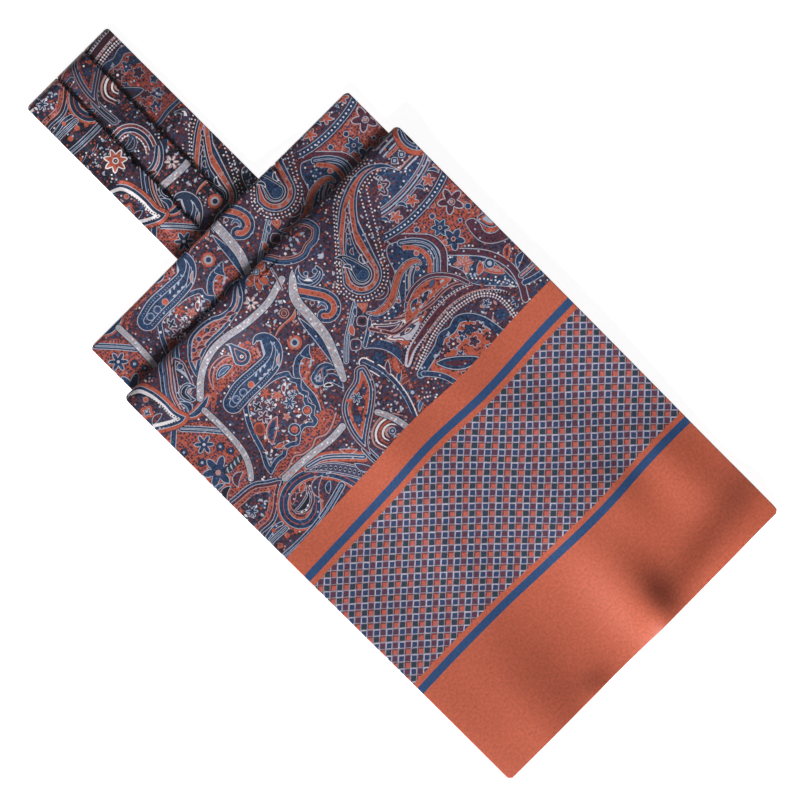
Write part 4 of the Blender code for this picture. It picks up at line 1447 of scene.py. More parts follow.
def draw_arch(art):
    """The nested arch right of the middle, its orange hook and the striped leaf below."""
    art.patch("night", [(30, 14), (36, 23), (42, 23), (50, 16), (53, 9), (50, 0), (36, 4), (22, 0), (15, 6),
                       (22, 8)])
    art.band("light 0.33 plum", 1.6, [(28, 4.6), (33.6, 13), (36.2, 20), (40.2, 23.6), (45.6, 21.6),
                                      (51, 16.6), (55, 11.6), (55, 5.6), (50.6, 0.4), (45.6, -4.6)])
    art.band("light 0.3 navy 0.8 light 0.24 navy", 1.5,
             [(45, 19.4), (49.8, 15.6), (52.6, 10.6), (51.4, 5.4), (47, 0.6)])
    art.band("plum 0.3 pink 0.25 ember", 1.25, [(44.8, 17.2), (48, 13.4), (49, 9), (47.8, 5.4),
                                                (45, 2.8)])
    art.band("light 0.27 navy 0.9 light 0.24 pink", 1.7, [(29, -1), (34, 3.4), (38, 7.4), (41.6, 9.4)])
    art.strand("light 0.24 plum 0.3 pink 0.24 ember",
               [(15.6, 9, 0.5), (19, 6, 1.5), (25, 5.6, 1.9), (30.6, 8.2, 1.7), (35.6, 10.9, 1.6),
                (41, 11.4, 1.6), (44.4, 10, 1.3), (44.8, 8, 0.8)])
    art.ring("plum 0.6 light 0.27 plum 1.2 light 0.27 ink 0.7 navy", (25.4, 12.4, 4.8))
    art.ring("light 0.27 ember", (42.6, 7.4, 1.0), (46.6, 12, 1.2), (28, 3.4, 1.0))
    art.band("plum 0.35 light 0.24 plum", 1.2, [(30.4, 1.2), (36, 3), (42.6, 2.4), (47.4, -0.8),
                                               (51, -5.6), (53, -11)])
    art.patch("pink 0.3 ember", [(24, -4.4), (29.6, 0), (36, 1.8), (42.4, 1), (47, -2.2), (49.4, -5.4),
                                  (42, -5), (34, -5.2), (28, -5.6)])
    art.leaf("light 0.24 navy", 1.2, 28.6, -4, 34.6, -1)
    art.leaf("light 0.24 navy", 1.2, 33.6, -4.4, 40, -2.2)
    art.strew([(26, -4), (36, 0.6), (43, 0), (48, -4), (42, -4.4), (34, -4.8)], 2.1, "pink 0.25 rust",
              "light", "rust", "plum")
    art.leaf("rust 0.3 blue", 1.1, 40.6, -2.2, 44.6, -0.6)


def draw_lower_right(art):
    """The plum stem, the leaves beside it and the corner at the right."""
    ground = [(50, 2), (56, 5), (64, 0), (80, 0), (80, -40), (60, -40), (62, -26), (54, -14), (50, -6)]
    art.patch("ground", ground)
    art.patch("light 0.27 night", [(52, 1), (55, 3), (59, -1.6), (64, -7), (66.6, -14), (66.4, -26),
                                 (61, -21), (54, -12.6), (54.6, -6)])
    art.dots("white", 0.4, 1.5, [(55.4, -11), (59.6, -15.6), (63, -20.6), (65, -25)])
    for tip_x, tip_y in ((54, -1.6), (57.6, -0.2), (61, -2.6), (60.6, -6.6), (55.6, -8.4)):
        art.leaf("light 0.24 ember 0.6 pink", 1.3, 57, -4.8, tip_x, tip_y, bend=0.0)
    art.strew([(56, -8), (62, -8), (66, -16), (66, -24), (60, -20), (54, -13)], 2.6, "light", "rust", "blue")
    art.leaf("light 0.27 ember", 1.5, 62.6, -8, 57.6, -11.6)
    art.leaf("pink 0.3 ember 0.7 pink", 1.7, 60.8, -12, 66, -19)
    art.ring("light 0.27 navy 0.9 light", (64.6, -11.6, 2.2))
    art.band("light 0.33 plum", 1.55, [(52.6, 7), (57, 2.4), (62, -2.6), (66.4, -8), (69, -14),
                                       (69.6, -20), (68, -26), (64.6, -32)])
    art.patch("ember", [(71, -2), (75, -1), (78, -4), (74, -5)])
    art.leaf("pink 0.3 ember 0.7 plum", 1.6, 70.6, -16, 76, -11.6)
    art.leaf("light 0.27 navy", 1.3, 71, -21, 78, -18)
    art.band("light 0.27 navy 0.5 pink", 1.2, [(70, -24), (75, -24.4), (82, -24)])
    art.band("light 0.27 navy", 1.2, [(69, -27), (74, -28.6), (82, -30)])
    art.ring("navy", (73.4, -32.4, 1.4), (77.4, -33.6, 1.4), (69, -33.4, 1.2))
    art.ring("ember", (71.4, -17, 0.7), (76.6, -14.6, 0.8), (76.6, -26.6, 0.9))


def draw_blossom_arch(art):
    """The navy arch at the foot of the print, with dark blossoms on orange and toothed bands over it."""
    ground = [(12, -14), (20, -12), (32, -8), (46, -8), (58, -16), (66, -30), (68, -40), (10, -40)]
    art.patch("ground", ground)
    toothed = [(12.6, -17), (18, -14), (26, -12.4), (34, -11.2), (41, -10.8), (48, -12), (54.6, -15),
               (60, -20), (64, -26), (67.4, -36)]
    widths = (1.5, 2.1, 2.5, 2.6, 2.6, 2.6, 2.5, 2.4, 2.2, 1.6)
    art.strand("plum 0.25 pale 1.0 rust 0.4 plum", [(*point, w) for point, w in zip(toothed, widths)])
    inner = [(14, -21.4), (21, -18.8), (29, -16.2), (38, -15), (46, -15.8), (52.6, -18), (56.6, -22.4),
             (57.4, -28), (56, -36)]
    art.band("plum", 1.1, inner)
    art.teeth("white", 0.5, 1.2, inner, side=0.7)
    art.teeth("pale", 0.5, 1.2, inner, side=-0.4)
    for side in (1.9, -1.9):
        art.teeth("ink", 0.52, 1.25, toothed, side=side)
    edge = [(13, -19.4), (20, -16.8), (28, -14.2), (36, -13), (44, -12.8), (51.6, -15), (58, -19.6)]
    art.teeth("pink", 0.5, 2.0, edge)
    art.strew([(48, -17), (53, -19), (56, -24), (57, -36), (51, -36), (49, -27)], 2.4,
              "light 0.24 navy", "white", "pink 0.3 plum", "rust")
    art.flower("light 0.27 navy", 52.4, -22, 2.0, 5)
    art.flower("plum 0.4 navy", 53.4, -29.6, 3.4, 6, depth=0.15)
    art.flower("light 0.27 navy", 61.4, -30, 2.6, 5)
    arch = [(13.6, -23.6), (20, -22), (26, -20.8), (30.4, -18.8), (35, -19.8), (39.4, -18.6),
            (43.4, -21), (46.2, -25.4), (47.6, -31), (48.4, -40)]
    floor = arch[1:] + [(47, -46), (24, -46), (22.6, -38), (20.4, -31), (17.6, -26.6)]
    art.patch("ember", floor)
    art.band("light 0.33 navy", 1.75, arch)
    blossoms = [(24.6, -24.4), (27.8, -23.4), (36.2, -24.2), (43.4, -26.6), (26.2, -29), (30.2, -29.6),
                (38, -29.4), (44.6, -33), (40.6, -35.6), (33.6, -37.4), (45.6, -38.4), (37.4, -40.6),
                (29, -41), (42, -42.6), (33.4, -44), (27, -37)]
    for number, (x, y) in enumerate(blossoms):
        art.flower(("light 0.24 plum 0.8 navy", "ink 0.4 plum", "light 0.27 navy 0.9 pale")[number % 3],
                   x, y, 2.0 + 0.3 * (number % 4), 5 + number % 2, depth=0.2, turn=0.7 * number)
    art.strew(floor[1:], 3.2, "plum", "light 0.25 navy", "ink", "clay")
    art.band("light 0.27 navy", 1.2, [(14.4, -24.2), (17, -27), (19.6, -31), (21.4, -37)])
    art.flower("light 0.27 plum 0.9 white", 31.4, -24.2, 2.9, 6, depth=0.2)
    art.flower("ink 0.4 navy 1.0 pale", 40, -24.6, 2.5, 5, depth=0.2)
    art.patch("plum 0.3 light 0.4 ink 0.3 navy 0.9 plum",
              [(20.6, -24.6), (25, -25.6), (30.6, -29.8), (35, -34.6), (34, -36.4), (28, -35.2),
               (23.2, -31)])


def draw_hidden_foot(art):
    """The foot of the print, which the orange band covers and only the neckband shows."""
    ground = [(-84, -38.6), (-40, -38), (0, -39), (40, -38.6), (84, -38), (84, -60), (-84, -60)]
    art.patch("ground", ground)
    art.strew([(-80, -40), (48, -40), (48, -58), (-80, -58)], 3.2, "light 0.24 navy", "pink 0.3 ember",
              "light", "rust", "plum")
    for x, y in ((-76.5, -41), (-70, -41.4), (-63, -41.6)):
        art.leaf("light 0.27 navy 0.6 ember", 1.8, x - 3, y - 1.8, x + 3, y + 1.6)
    art.dots("light", 0.35, 1.5, [(-80, -46), (-72, -45.4), (-64, -46), (-56, -45)])
    art.flower("plum 0.3 white 0.5 ember", -68.6, -51.6, 5.4, 7, depth=0.2)
    art.ring("white 0.5 ink 0.5 pink", (-68.6, -51.6, 1.4))
    art.strand("light 0.3 navy 0.8 ember 0.8 pink", [(-62, -58, 1.2), (-59, -52, 2.4), (-56, -46, 1.0)])
    art.patch("dark", [(-27, -44), (-18, -43), (-12, -49), (-12, -58), (-17, -64), (-28, -68)])
    art.patch("ground", [(-29, -50), (-24, -49), (-22, -54), (-25, -60), (-30, -61)])
    hook = [(-27.4, -45.2), (-23.4, -45.4), (-20, -48.2), (-18.8, -53), (-20.2, -58), (-23.6, -62),
            (-28.6, -64.4)]
    art.band("pale 0.35 ember 1.1 pale 0.35 navy", 2.5, hook)
    art.dots("white", 0.36, 1.3, [(-27, -47), (-24, -47.4), (-21.6, -50), (-21.2, -54), (-23, -58),
                                  (-27, -61)])
    art.strand("light 0.27 navy 0.8 light 0.24 ink", [(-22.6, -47.6, 0.4), (-22.8, -50.4, 1.5),
                                                      (-25.8, -51.8, 2.2), (-28.4, -50.4, 0.8)])
    art.strew([(-16, -44), (-12, -46), (-12, -60), (-17, -62), (-16, -52)], 2.6, "light", "blue", "ink")
    art.patch("fleck", [(24, -39), (44, -39), (45, -48), (24, -48)])
    art.band("plum 0.4 light 0.27 navy", 1.3, [(24, -49), (30, -49.4), (36, -48.6), (44, -49)])
    art.strand("light 0.3 ink 0.6 white", [(28, -57, 0.6), (34, -58, 2.0), (40, -54, 1.4), (37, -51, 0.4)])


def draw_paisley():
    """The whole repeat of the paisley print."""
    art = Print("ground")
    for draw in (
        draw_hidden_foot, draw_left_ground, draw_upper_grounds, draw_right_of_ribbon, draw_centre,
        draw_lower_middle, draw_middle_fan, draw_upper_middle, draw_left_leaf_and_ring,
        draw_striped_corner, draw_striped_leaf, draw_top_left_leaf, draw_top_left_blade,
        draw_medallion, draw_lying_boteh, draw_blossom_arch, draw_lower_right, draw_right_ground,
        draw_arch, draw_top_right, draw_head_ground, draw_leaf_border, draw_orange_boteh,
        draw_broad_leaf, draw_ribbons,
    ):
        draw(art)
    return art


# ---------------------------------------------------------------- the front blade's bands

# The bands' edges and the stripes' middles sway across the blade, those over the lattice in one way
# and those below it in another.
SWAY = (
    # x, over_the_lattice, below_the_lattice
    (92.0, 2.0, 0.5),
    (60.0, 1.5, 1.0),
    (26.0, -0.1, -0.7),
    (-4.0, 1.0, -0.3),
    (-30.0, -0.5, 0.5),
    (-60.0, -1.6, 0.3),
    (-92.0, -2.8, -1.0),
)
OVER, BELOW = 1, 2

# Each line's y, and the way that it sways.
PAISLEY_END = (-35.4, OVER)
STRIPE_1 = (-47.1, OVER)
LATTICE_TOP = (-51.1, OVER)
LATTICE_END = (-109.3, BELOW)
STRIPE_2 = (-113.2, BELOW)
STRIPE_HALF_WIDTH = 1.65
LATTICE_PITCH = 3.93
LATTICE_ROWS = 15.7
LATTICE_FIRST = 0.76
LATTICE_X = -36.5
LATTICE_SLANT = -1.2
LATTICE_COLUMNS = range(-11, 30)
LATTICE_LINES = range(-1, 16)
LATTICE_SHAKE = 0.09
LINE_STEP = 2.5

# How far the lattice's ground goes on under the orange bands, and the lower one past the plain end.
LATTICE_UNDER = 1.0
PAST_END = 5.0

# The diamonds at the lattice's points, of two kinds in turn, each as dye, reach and rise.
DIAMONDS = (
    (("rust", 0.44, 0.03), ("clay", 0.34, -0.06)),
    (("pale", 0.49, 0.02), ("slate", 0.39, -0.02)),
)

# The dark diamonds between the points.
DARK_DIAMONDS = ("green", "mulberry")
DARK_REACH = 0.41


def line_y(line, x):
    """The y of one of the bands' lines at x."""
    y, way = line
    return y + table_curve(SWAY, way, x)


def across_band(line, rise=0.0):
    """Points across the blade along one of the bands' lines, from -X to +X."""
    x = steps(-PAISLEY_SIDE, PAISLEY_SIDE, LINE_STEP)
    return np.column_stack([x, line_y(line, x) + rise])


def band_between(lower, upper):
    """A closed shape between two rows of points that both run from -X to +X."""
    return np.vstack([lower, upper[::-1]])


def lattice_point(column, row):
    """Where a lattice point is on the blade, in steps across and rows down from the first row."""
    share = (row + LATTICE_FIRST) / LATTICE_ROWS
    x = LATTICE_X + column * LATTICE_PITCH + LATTICE_SLANT * share
    return np.stack([x, mix(line_y(LATTICE_TOP, x), line_y(LATTICE_END, x), share)], axis=-1)


def draw_diamond(art, dye, column, row, reach, rise=0.0):
    """One diamond of the lattice, with its points as far out as its reach."""
    columns = column + np.array([0.0, reach, 0.0, -reach])
    rows = row + np.array([reach, 0.0, -reach, 0.0]) - rise
    corners = lattice_point(columns, rows)
    art.add(corners + DRAW.uniform(-LATTICE_SHAKE, LATTICE_SHAKE, corners.shape), dye)


def draw_lattice(art):
    """The lattice of diamonds: orange and navy ones in turn, and dark ones between their rows."""
    lower, upper = across_band(LATTICE_END, -LATTICE_UNDER), across_band(LATTICE_TOP, LATTICE_UNDER)
    art.add(band_between(lower, upper), "haze")
    for row in LATTICE_LINES:
        for column in LATTICE_COLUMNS:
            kind = (column + row) % 2
            for dye, reach, rise in DIAMONDS[kind]:
                draw_diamond(art, dye, column, row, reach, rise)
            draw_diamond(art, DARK_DIAMONDS[kind], column + 0.5, row + 0.5, DARK_REACH)


def draw_bands(art):
    """The orange bands and navy stripes over and below the lattice."""
    end = steps(-PAISLEY_SIDE, PAISLEY_SIDE, LINE_STEP)
    below = np.column_stack([end, np.full(len(end), BLADE_END_Y - PAST_END)])
    art.add(band_between(across_band(LATTICE_TOP), across_band(PAISLEY_END)), "orange")
    art.add(band_between(below, across_band(LATTICE_END)), "orange")
    for stripe in (STRIPE_1, STRIPE_2):
        lower, upper = [across_band(stripe, side * STRIPE_HALF_WIDTH) for side in (-1, 1)]
        art.add(band_between(lower, upper), "stripe")


# ---------------------------------------------------------------- prints of the pieces

# How far the blades' prints reach along them, and where the rear blade's lies.
FRONT_PRINT_LOW = -40.0
FRONT_PRINT_HIGH = 90.0
REAR_PRINT_HIGH = 140.0
REAR_PRINT_SHIFT = (-1.0, 48.0)
REAR_FINE = (52.0, 82.0)


def place_both(art, paisley, shift, low, seam, high, side=PAISLEY_SIDE, fine=EVERYWHERE):
    """Places the repeat of the paisley that ends at a seam, and the hidden start of the next one."""
    art.place(paisley, shift, (-side, low), (side, seam), fine=fine)
    art.place(paisley, shift + (0.0, PAISLEY_REPEAT), (-side, seam), (side, high), 1, HIDDEN)


def seamed_print(seam):
    """An empty print with another region past a seam."""
    return Print("ground", lambda points: (points[:, 1] > seam).astype(int))


def front_print(paisley):
    """The front blade's print: paisley over the fold, the bands and the lattice, and a plain end."""
    art = seamed_print(PAISLEY_HIGH)
    place_both(art, paisley, np.zeros(2), FRONT_PRINT_LOW, PAISLEY_HIGH, FRONT_PRINT_HIGH)
    draw_lattice(art)
    draw_bands(art)
    return art


def rear_print(paisley):
    """The rear blade's print: the same paisley, a little further along."""
    seam = PAISLEY_HIGH + REAR_PRINT_SHIFT[1]
    art = seamed_print(seam)
    shift = np.array(REAR_PRINT_SHIFT)
    place_both(art, paisley, shift, TAIL_Y, seam, REAR_PRINT_HIGH, fine=REAR_FINE)
    return art


# Darker dyes in place of the print's own on the neckband, which paint the shade of its pleats and
# of the blades over it: the deepest painted shade for its darkest part, and a lighter one for the rest of
# it.
PAINTED_DEEP_SHADE = {
    "navy": "midnight", "blue": "navy", "ember": "brick", "ground": "coal", "dark": "coal",
    "plum": "umber", "fleck": "brick", "rust": "umber", "ribbon": "coal", "light": "smoke",
}
PAINTED_SHADE = {"ground": "coal", "blue": "navy", "navy": "midnight", "plum": "umber"}

# Where the print lies on the strips of the pleated neckband.
BAND_PRINT = (
    # x_shift, x_shift_past_seam, y_shift, y_shift_past_seam, dyes, dyes_past_seam (darker dyes of painted
    # shade)
    (-19.0, -19.0, 63.5, 172.0, PAINTED_SHADE, PAINTED_DEEP_SHADE),
    (17.5, 21.5, 63.0, 175.5, PAINTED_SHADE, PAINTED_DEEP_SHADE),
    (52.0, 56.0, 63.5, 175.5, PAINTED_SHADE, PAINTED_SHADE),
)
BAND_PRINT_SEAM = 117.0
BAND_PRINT_HIGH = 180.0
BAND_FINE = (REAR_FOLD_Y - 2.0, BAND_PRINT_HIGH)
PLEAT_LEAN = 3.5

# Where the print lies on the neckband's lower half, and the corners of what it fills.
BAND_BACK_SHIFT = (-30.0, 96.0)
BAND_BACK_BOX = ((-30.0, 20.0), (30.0, 170.0))

# Where the print lies on the underside of the hidden layers.
UNDERSIDE_X = 4.0
UNDERSIDE_LOW = -130.0
UNDERSIDE_SEAM = -12.0
UNDERSIDE_HIGH = 40.0
UNDERSIDE_SIDE = 80.0


def pleat_seams(v):
    """The places across the flat cloth, in the middle of each pleat, where the print changes."""
    folds = pleat_folds(v)[:-1]
    return [x - PLEAT_DEPTH - k * PLEAT_SHIFT - BAND_HIDDEN / 2 for k, x in enumerate(folds)]


def band_region(points):
    """Two regions for each of the neckband's strips, before and past the print's seam."""
    u, v = points[:, 0], points[:, 1]
    strip = sum((u < seam).astype(int) for seam in pleat_seams(v))
    return 2 * strip + (v > BAND_PRINT_SEAM)


def band_print(paisley):
    """The neckband's print: a piece of the paisley on each strip between its pleats, in darker dyes that
    paint shade.
    """
    art = Print("ground", band_region)
    edges = [BAND_WIDTH / 2] + pleat_seams(END_Y) + [-BAND_WIDTH / 2 - len(PLEATS) * PLEAT_SHIFT]
    for strip, (x, x_past, y, y_past, dyes, shade_dyes_past) in enumerate(BAND_PRINT):
        shift = (x - strip * PLEAT_SHIFT, y)
        shift_past = (x_past - strip * PLEAT_SHIFT, y_past)
        low, high = edges[strip + 1] - PLEAT_LEAN, edges[strip]
        art.place(paisley, shift, (low, TAIL_Y), (high, BAND_PRINT_SEAM), 2 * strip, BAND_FINE, dyes)
        art.place(paisley, shift_past, (low, BAND_PRINT_SEAM), (high, BAND_PRINT_HIGH), 2 * strip + 1,
                  redyed=shade_dyes_past)
    return art


def band_back_print(paisley):
    """The print of the neckband's lower half: one stretch of the paisley."""
    art = Print("ground")
    art.place(paisley, BAND_BACK_SHIFT, *BAND_BACK_BOX, fine=HIDDEN)
    return art


def layer_print(paisley, number):
    """The print of a hidden layer. Only the lowest one shows, from below, and has the paisley."""
    art = seamed_print(UNDERSIDE_SEAM)
    if number == 0:
        shift = np.array([UNDERSIDE_X, UNDERSIDE_SEAM - PAISLEY_HIGH])
        place_both(art, paisley, shift, UNDERSIDE_LOW, UNDERSIDE_SEAM, UNDERSIDE_HIGH, UNDERSIDE_SIDE,
                   fine=HIDDEN)
    return art


# ---------------------------------------------------------------- silk

# The silk's surface, in millimetres and as shares: its spots, its twill, the mottle of its yarn and
# of its dyes, and how it shines.
SPOT_PITCH = 1.05
SPOT_EDGE = 0.45
SPOT_HEART = 0.33
SPOT_RANDOMNESS = 0.8
TWILL_PITCH = 0.45
TWILL_DEPTH = 0.04
TWILL_STRENGTH = 0.3
TWILL_SHARE = 0.5
YARN_MOTTLE = 1.1
YARN_STRENGTH = 0.75
CLOUD_MOTTLE = 14.0
CLOUD_STRENGTH = 0.14
SILK_ROUGHNESS = 0.46
ROUGHNESS_SPREAD = 0.16
SILK_SPECULAR = 0.35
SHEEN = 0.12
SHEEN_ROUGHNESS = 0.35


class Graph:
    """The nodes of one material, with short ways to add and join them."""

    def __init__(self, name):
        self.material = bpy.data.materials.new(name)
        self.material.use_nodes = True
        tree = self.material.node_tree
        self.nodes, self.links = tree.nodes, tree.links
        self.shader = tree.nodes["Principled BSDF"]

    def join(self, value, socket):
        """Joins an output to a socket, or sets the socket to a plain value."""
        if isinstance(value, bpy.types.NodeSocket):
            self.links.new(value, socket)
        else:
            socket.default_value = value

    def node(self, kind, **settings):
        """A new node with its settings."""
        made = self.nodes.new(kind)
        for setting, value in settings.items():
            setattr(made, setting, value)
        return made

    def math(self, operation, *values):
        """The result of a sum on outputs or numbers."""
        made = self.node("ShaderNodeMath", operation=operation)
        for value, socket in zip(values, made.inputs):
            self.join(value, socket)
        return made.outputs[0]

    def around_one(self, value, strength):
        """A value from 0 to 1 as a factor round 1, as far from it as its strength."""
        return self.math("MULTIPLY_ADD", value, strength, 1.0 - strength / 2)

    def scaled(self, vector, scale):
        """A vector or colour times a number."""
        made = self.node("ShaderNodeVectorMath", operation="SCALE")
        self.join(vector, made.inputs[0])
        self.join(scale, made.inputs["Scale"])
        return made.outputs[0]

    def noise(self, place, size):
        """Soft noise whose cells have about that size in millimetres."""
        made = self.node("ShaderNodeTexNoise")
        self.join(1 / (size * MM), made.inputs["Scale"])
        self.join(place, made.inputs["Vector"])
        return made.outputs["Fac"]

    def mixed(self, share, first, second):
        """A colour that goes from first to second, by the mix node's own sockets for colours."""
        made = self.node("ShaderNodeMix", data_type="RGBA")
        self.join(share, made.inputs[0])
        self.join(first, made.inputs[6])
        self.join(second, made.inputs[7])
        return made.outputs[2]

    def chosen(self, value, dyes):
        """One of the dyes, which the value from 0 to 1 chooses by their shares."""
        words = dyes.split()
        shares = [float(word) for word in words[1::2]]
        ramp = self.node("ShaderNodeValToRGB")
        ramp.color_ramp.interpolation = "CONSTANT"
        position = 0.0
        for number, (dye, share) in enumerate(zip(words[::2], shares)):
            stops = ramp.color_ramp.elements
            stop = stops[0] if number == 0 else stops.new(position)
            stop.color = (*DYES[dye][0], 1.0)
            position += share / sum(shares)
        stops.remove(stops[-1])
        self.join(value, ramp.inputs[0])
        return ramp.outputs[0]


def spotted(graph, weave, colour):
    """A colour with fine spots over it, of the kind that the cloth has at each place."""
    cells = graph.node("ShaderNodeTexVoronoi", voronoi_dimensions="2D")
    graph.join(weave, cells.inputs["Vector"])
    graph.join(1 / (SPOT_PITCH * MM), cells.inputs["Scale"])
    graph.join(SPOT_RANDOMNESS, cells.inputs["Randomness"])
    spot = graph.node("ShaderNodeMapRange", interpolation_type="SMOOTHSTEP")
    for value, socket in zip((cells.outputs["Distance"], SPOT_EDGE, SPOT_HEART), spot.inputs):
        graph.join(value, socket)
    draw = graph.node("ShaderNodeSeparateColor")
    graph.join(cells.outputs["Color"], draw.inputs[0])
    kind = graph.node("ShaderNodeAttribute", attribute_name="Spots").outputs["Fac"]
    for number, dyes in SPOTS.items():
        here = graph.math("COMPARE", kind, float(number), 0.5)
        share = graph.math("MULTIPLY", spot.outputs[0], here)
        colour = graph.mixed(share, colour, graph.chosen(draw.outputs[0], dyes))
    return colour


def silk_material(name):
    """Printed silk: its dyes with their spots, mottled by the yarn, a fine twill and a soft sheen."""
    graph = Graph(name)
    shader = graph.shader
    weave = graph.node("ShaderNodeUVMap", uv_map="Weave").outputs["UV"]
    dyes = graph.node("ShaderNodeVertexColor", layer_name="Print").outputs["Color"]
    yarn = graph.noise(weave, YARN_MOTTLE)
    cloud = graph.noise(weave, CLOUD_MOTTLE)
    tone_mottle = graph.math("MULTIPLY", graph.around_one(yarn, YARN_STRENGTH),
                       graph.around_one(cloud, CLOUD_STRENGTH))
    graph.join(graph.scaled(spotted(graph, weave, dyes), tone_mottle), shader.inputs["Base Color"])
    least_rough = SILK_ROUGHNESS - ROUGHNESS_SPREAD / 2
    rough = graph.math("MULTIPLY_ADD", yarn, ROUGHNESS_SPREAD, least_rough)
    graph.join(rough, shader.inputs["Roughness"])
    shader.inputs["Specular IOR Level"].default_value = SILK_SPECULAR
    shader.inputs["Sheen Weight"].default_value = SHEEN
    shader.inputs["Sheen Roughness"].default_value = SHEEN_ROUGHNESS

    # Twill lines run at 45 degrees to the cloth's edges.
    place = graph.node("ShaderNodeSeparateXYZ")
    graph.join(weave, place.inputs[0])
    diagonal = graph.math("ADD", place.outputs["X"], place.outputs["Y"])
    twill = graph.math("SINE", graph.math("MULTIPLY", diagonal, 2 * math.pi / (TWILL_PITCH * MM)))
    bump = graph.node("ShaderNodeBump")
    bump.inputs["Strength"].default_value = TWILL_STRENGTH
    bump.inputs["Distance"].default_value = TWILL_DEPTH * MM
    graph.join(graph.math("MULTIPLY_ADD", twill, TWILL_SHARE, yarn), bump.inputs["Height"])
    graph.join(bump.outputs[0], shader.inputs["Normal"])
    return graph.material


# ---------------------------------------------------------------- pieces

# The steps along the panels' edges.
EDGE_STEP = 2.0
FRONT_EDGE_STEP = 1.0

# The steps of the pieces' free points, on the flat, at the plain end and round the folds.
FACE_STEP = 3.0
END_STEP = 2.0
FRONT_TURN_STEP = 0.8
REAR_TURN_STEP = 0.6
BAND_STEP = 0.4
BAND_LENGTH_STEP = 4.0
BAND_END_STEP = 0.7
BAND_GRID_CLEAR = 0.3
HIDDEN_STEP = 4.0

# The plain end and the neckband's end have closer rows from here on.
CLOSE_ROWS_Y = -105.0
BAND_CLOSE_ROWS_Y = 157.0

# The hidden layers' panels keep this clear of their solid's ends.
CORE_END_CLEAR = 0.3
CORE_FRONT_CLEAR = 0.9
CORE_RIM_CLEAR = 0.12
CORE_SIDE_X = 72.0
CORE_GRID_X = 76.0


def rows_of(*runs):
    """The rows of a grid, in runs of even steps, each given as its first, its last and a step."""
    return np.concatenate([steps(*run) for run in runs])


def add_front_blade(silk, paisley):
    """The front blade: the paisley face, the striped bands and the plain end."""
    centre_y, turn = fold_start("front")
    low, tail_v = BLADE_END_Y + SILK / 2, tail_end("front")
    outline = panel_outline(lambda v: front_half_width(v) - SILK / 2, low, tail_v, FRONT_EDGE_STEP)
    rows = rows_of(
        (BLADE_END_Y, CLOSE_ROWS_Y, END_STEP),
        (CLOSE_ROWS_Y + 2.5, centre_y - 3.0, FACE_STEP),
        (centre_y - 2.0, centre_y + turn, FRONT_TURN_STEP),
        (centre_y + turn + 2.0, tail_v, FACE_STEP),
    )
    free = free_grid(outline, steps(-FRONT_WIDTH / 2, FRONT_WIDTH / 2, FACE_STEP), rows)
    cloth = Cloth()
    add_shell(cloth, place_front, outline, free, free[::2], front_print(paisley))
    piece = add_piece("front_blade_silk", cloth, silk, "front_blade")


def add_rear_blade(silk, paisley):
    """The rear blade's fold between the neckband and the front blade."""
    centre_y, turn = fold_start("rear")
    tail_v = tail_end("rear")
    outline = panel_outline(lambda v: rear_half_width(v) - SILK / 2, TAIL_Y, tail_v, EDGE_STEP)
    rows = rows_of(
        (TAIL_Y + 2.0, centre_y - 2.0, FACE_STEP),
        (centre_y - 1.0, centre_y + turn, REAR_TURN_STEP),
        (centre_y + turn + 2.0, tail_v - 2.0, FACE_STEP),
    )
    free = free_grid(outline, steps(-REAR_WIDTH / 2, REAR_WIDTH / 2, FACE_STEP), rows)
    cloth = Cloth()
    add_shell(cloth, place_rear, outline, free, free[::2], rear_print(paisley))
    piece = add_piece("rear_blade_silk", cloth, silk, "rear_blade")


def band_foot_v(u):
    """How far along the neckband its turned down end reaches."""
    start, height = band_end_v(u)
    return start + height * np.arccos(BAND_FOOT / height)


def add_neckband(silk, paisley):
    """The pleated upper half of the neckband."""
    left, right = -BAND_WIDTH / 2 - len(PLEATS) * PLEAT_SHIFT, BAND_WIDTH / 2
    edge = BAND_CLOTH / 2
    across = steps(left + edge, right - edge, BAND_STEP)
    up = steps(TAIL_Y, float(band_foot_v(np.array(right - edge))), EDGE_STEP)[1:]
    down = steps(float(band_foot_v(np.array(left + edge))), TAIL_Y, EDGE_STEP)[1:-1]
    outline = np.vstack([
        np.column_stack([across, np.full(len(across), TAIL_Y)]),
        np.column_stack([np.full(len(up), right - edge), up]),
        np.column_stack([across[::-1], band_foot_v(across[::-1])])[1:],
        np.column_stack([np.full(len(down), left + edge), down]),
    ])
    rows = rows_of(
        (TAIL_Y + 2.0, BAND_CLOSE_ROWS_Y - 1.0, BAND_LENGTH_STEP),
        (BAND_CLOSE_ROWS_Y, END_Y, BAND_END_STEP),
    )
    free = free_grid(outline, steps(left, right, BAND_STEP), rows, BAND_GRID_CLEAR)
    cloth = Cloth()
    add_shell(cloth, place_band, outline, free, free, band_print(paisley), even_wall(BAND_CLOTH), edge)
    piece = add_piece("neckband_silk", cloth, silk, "neckband")


def add_neckband_back(silk, paisley):
    """The neckband's lower half, flat on the surface."""
    wall = BAND_BACK_THICKNESS
    half_width = (BAND_WIDTH - 2 * BAND_BACK_INSET - wall) / 2
    low, high = TAIL_Y + wall / 2, BAND_BACK_END_Y - wall / 2
    outline = panel_outline(lambda v: half_width + 0 * v, low, high, EDGE_STEP)
    columns = steps(-half_width, half_width, HIDDEN_STEP)
    free = free_grid(outline, columns, steps(low, high, HIDDEN_STEP))
    art = band_back_print(paisley)
    cloth = Cloth()
    add_shell(cloth, place_band_back, outline, free, free[::2], art, even_wall(wall))
    piece = add_piece("neckband_back_silk", cloth, silk, "neckband_back")


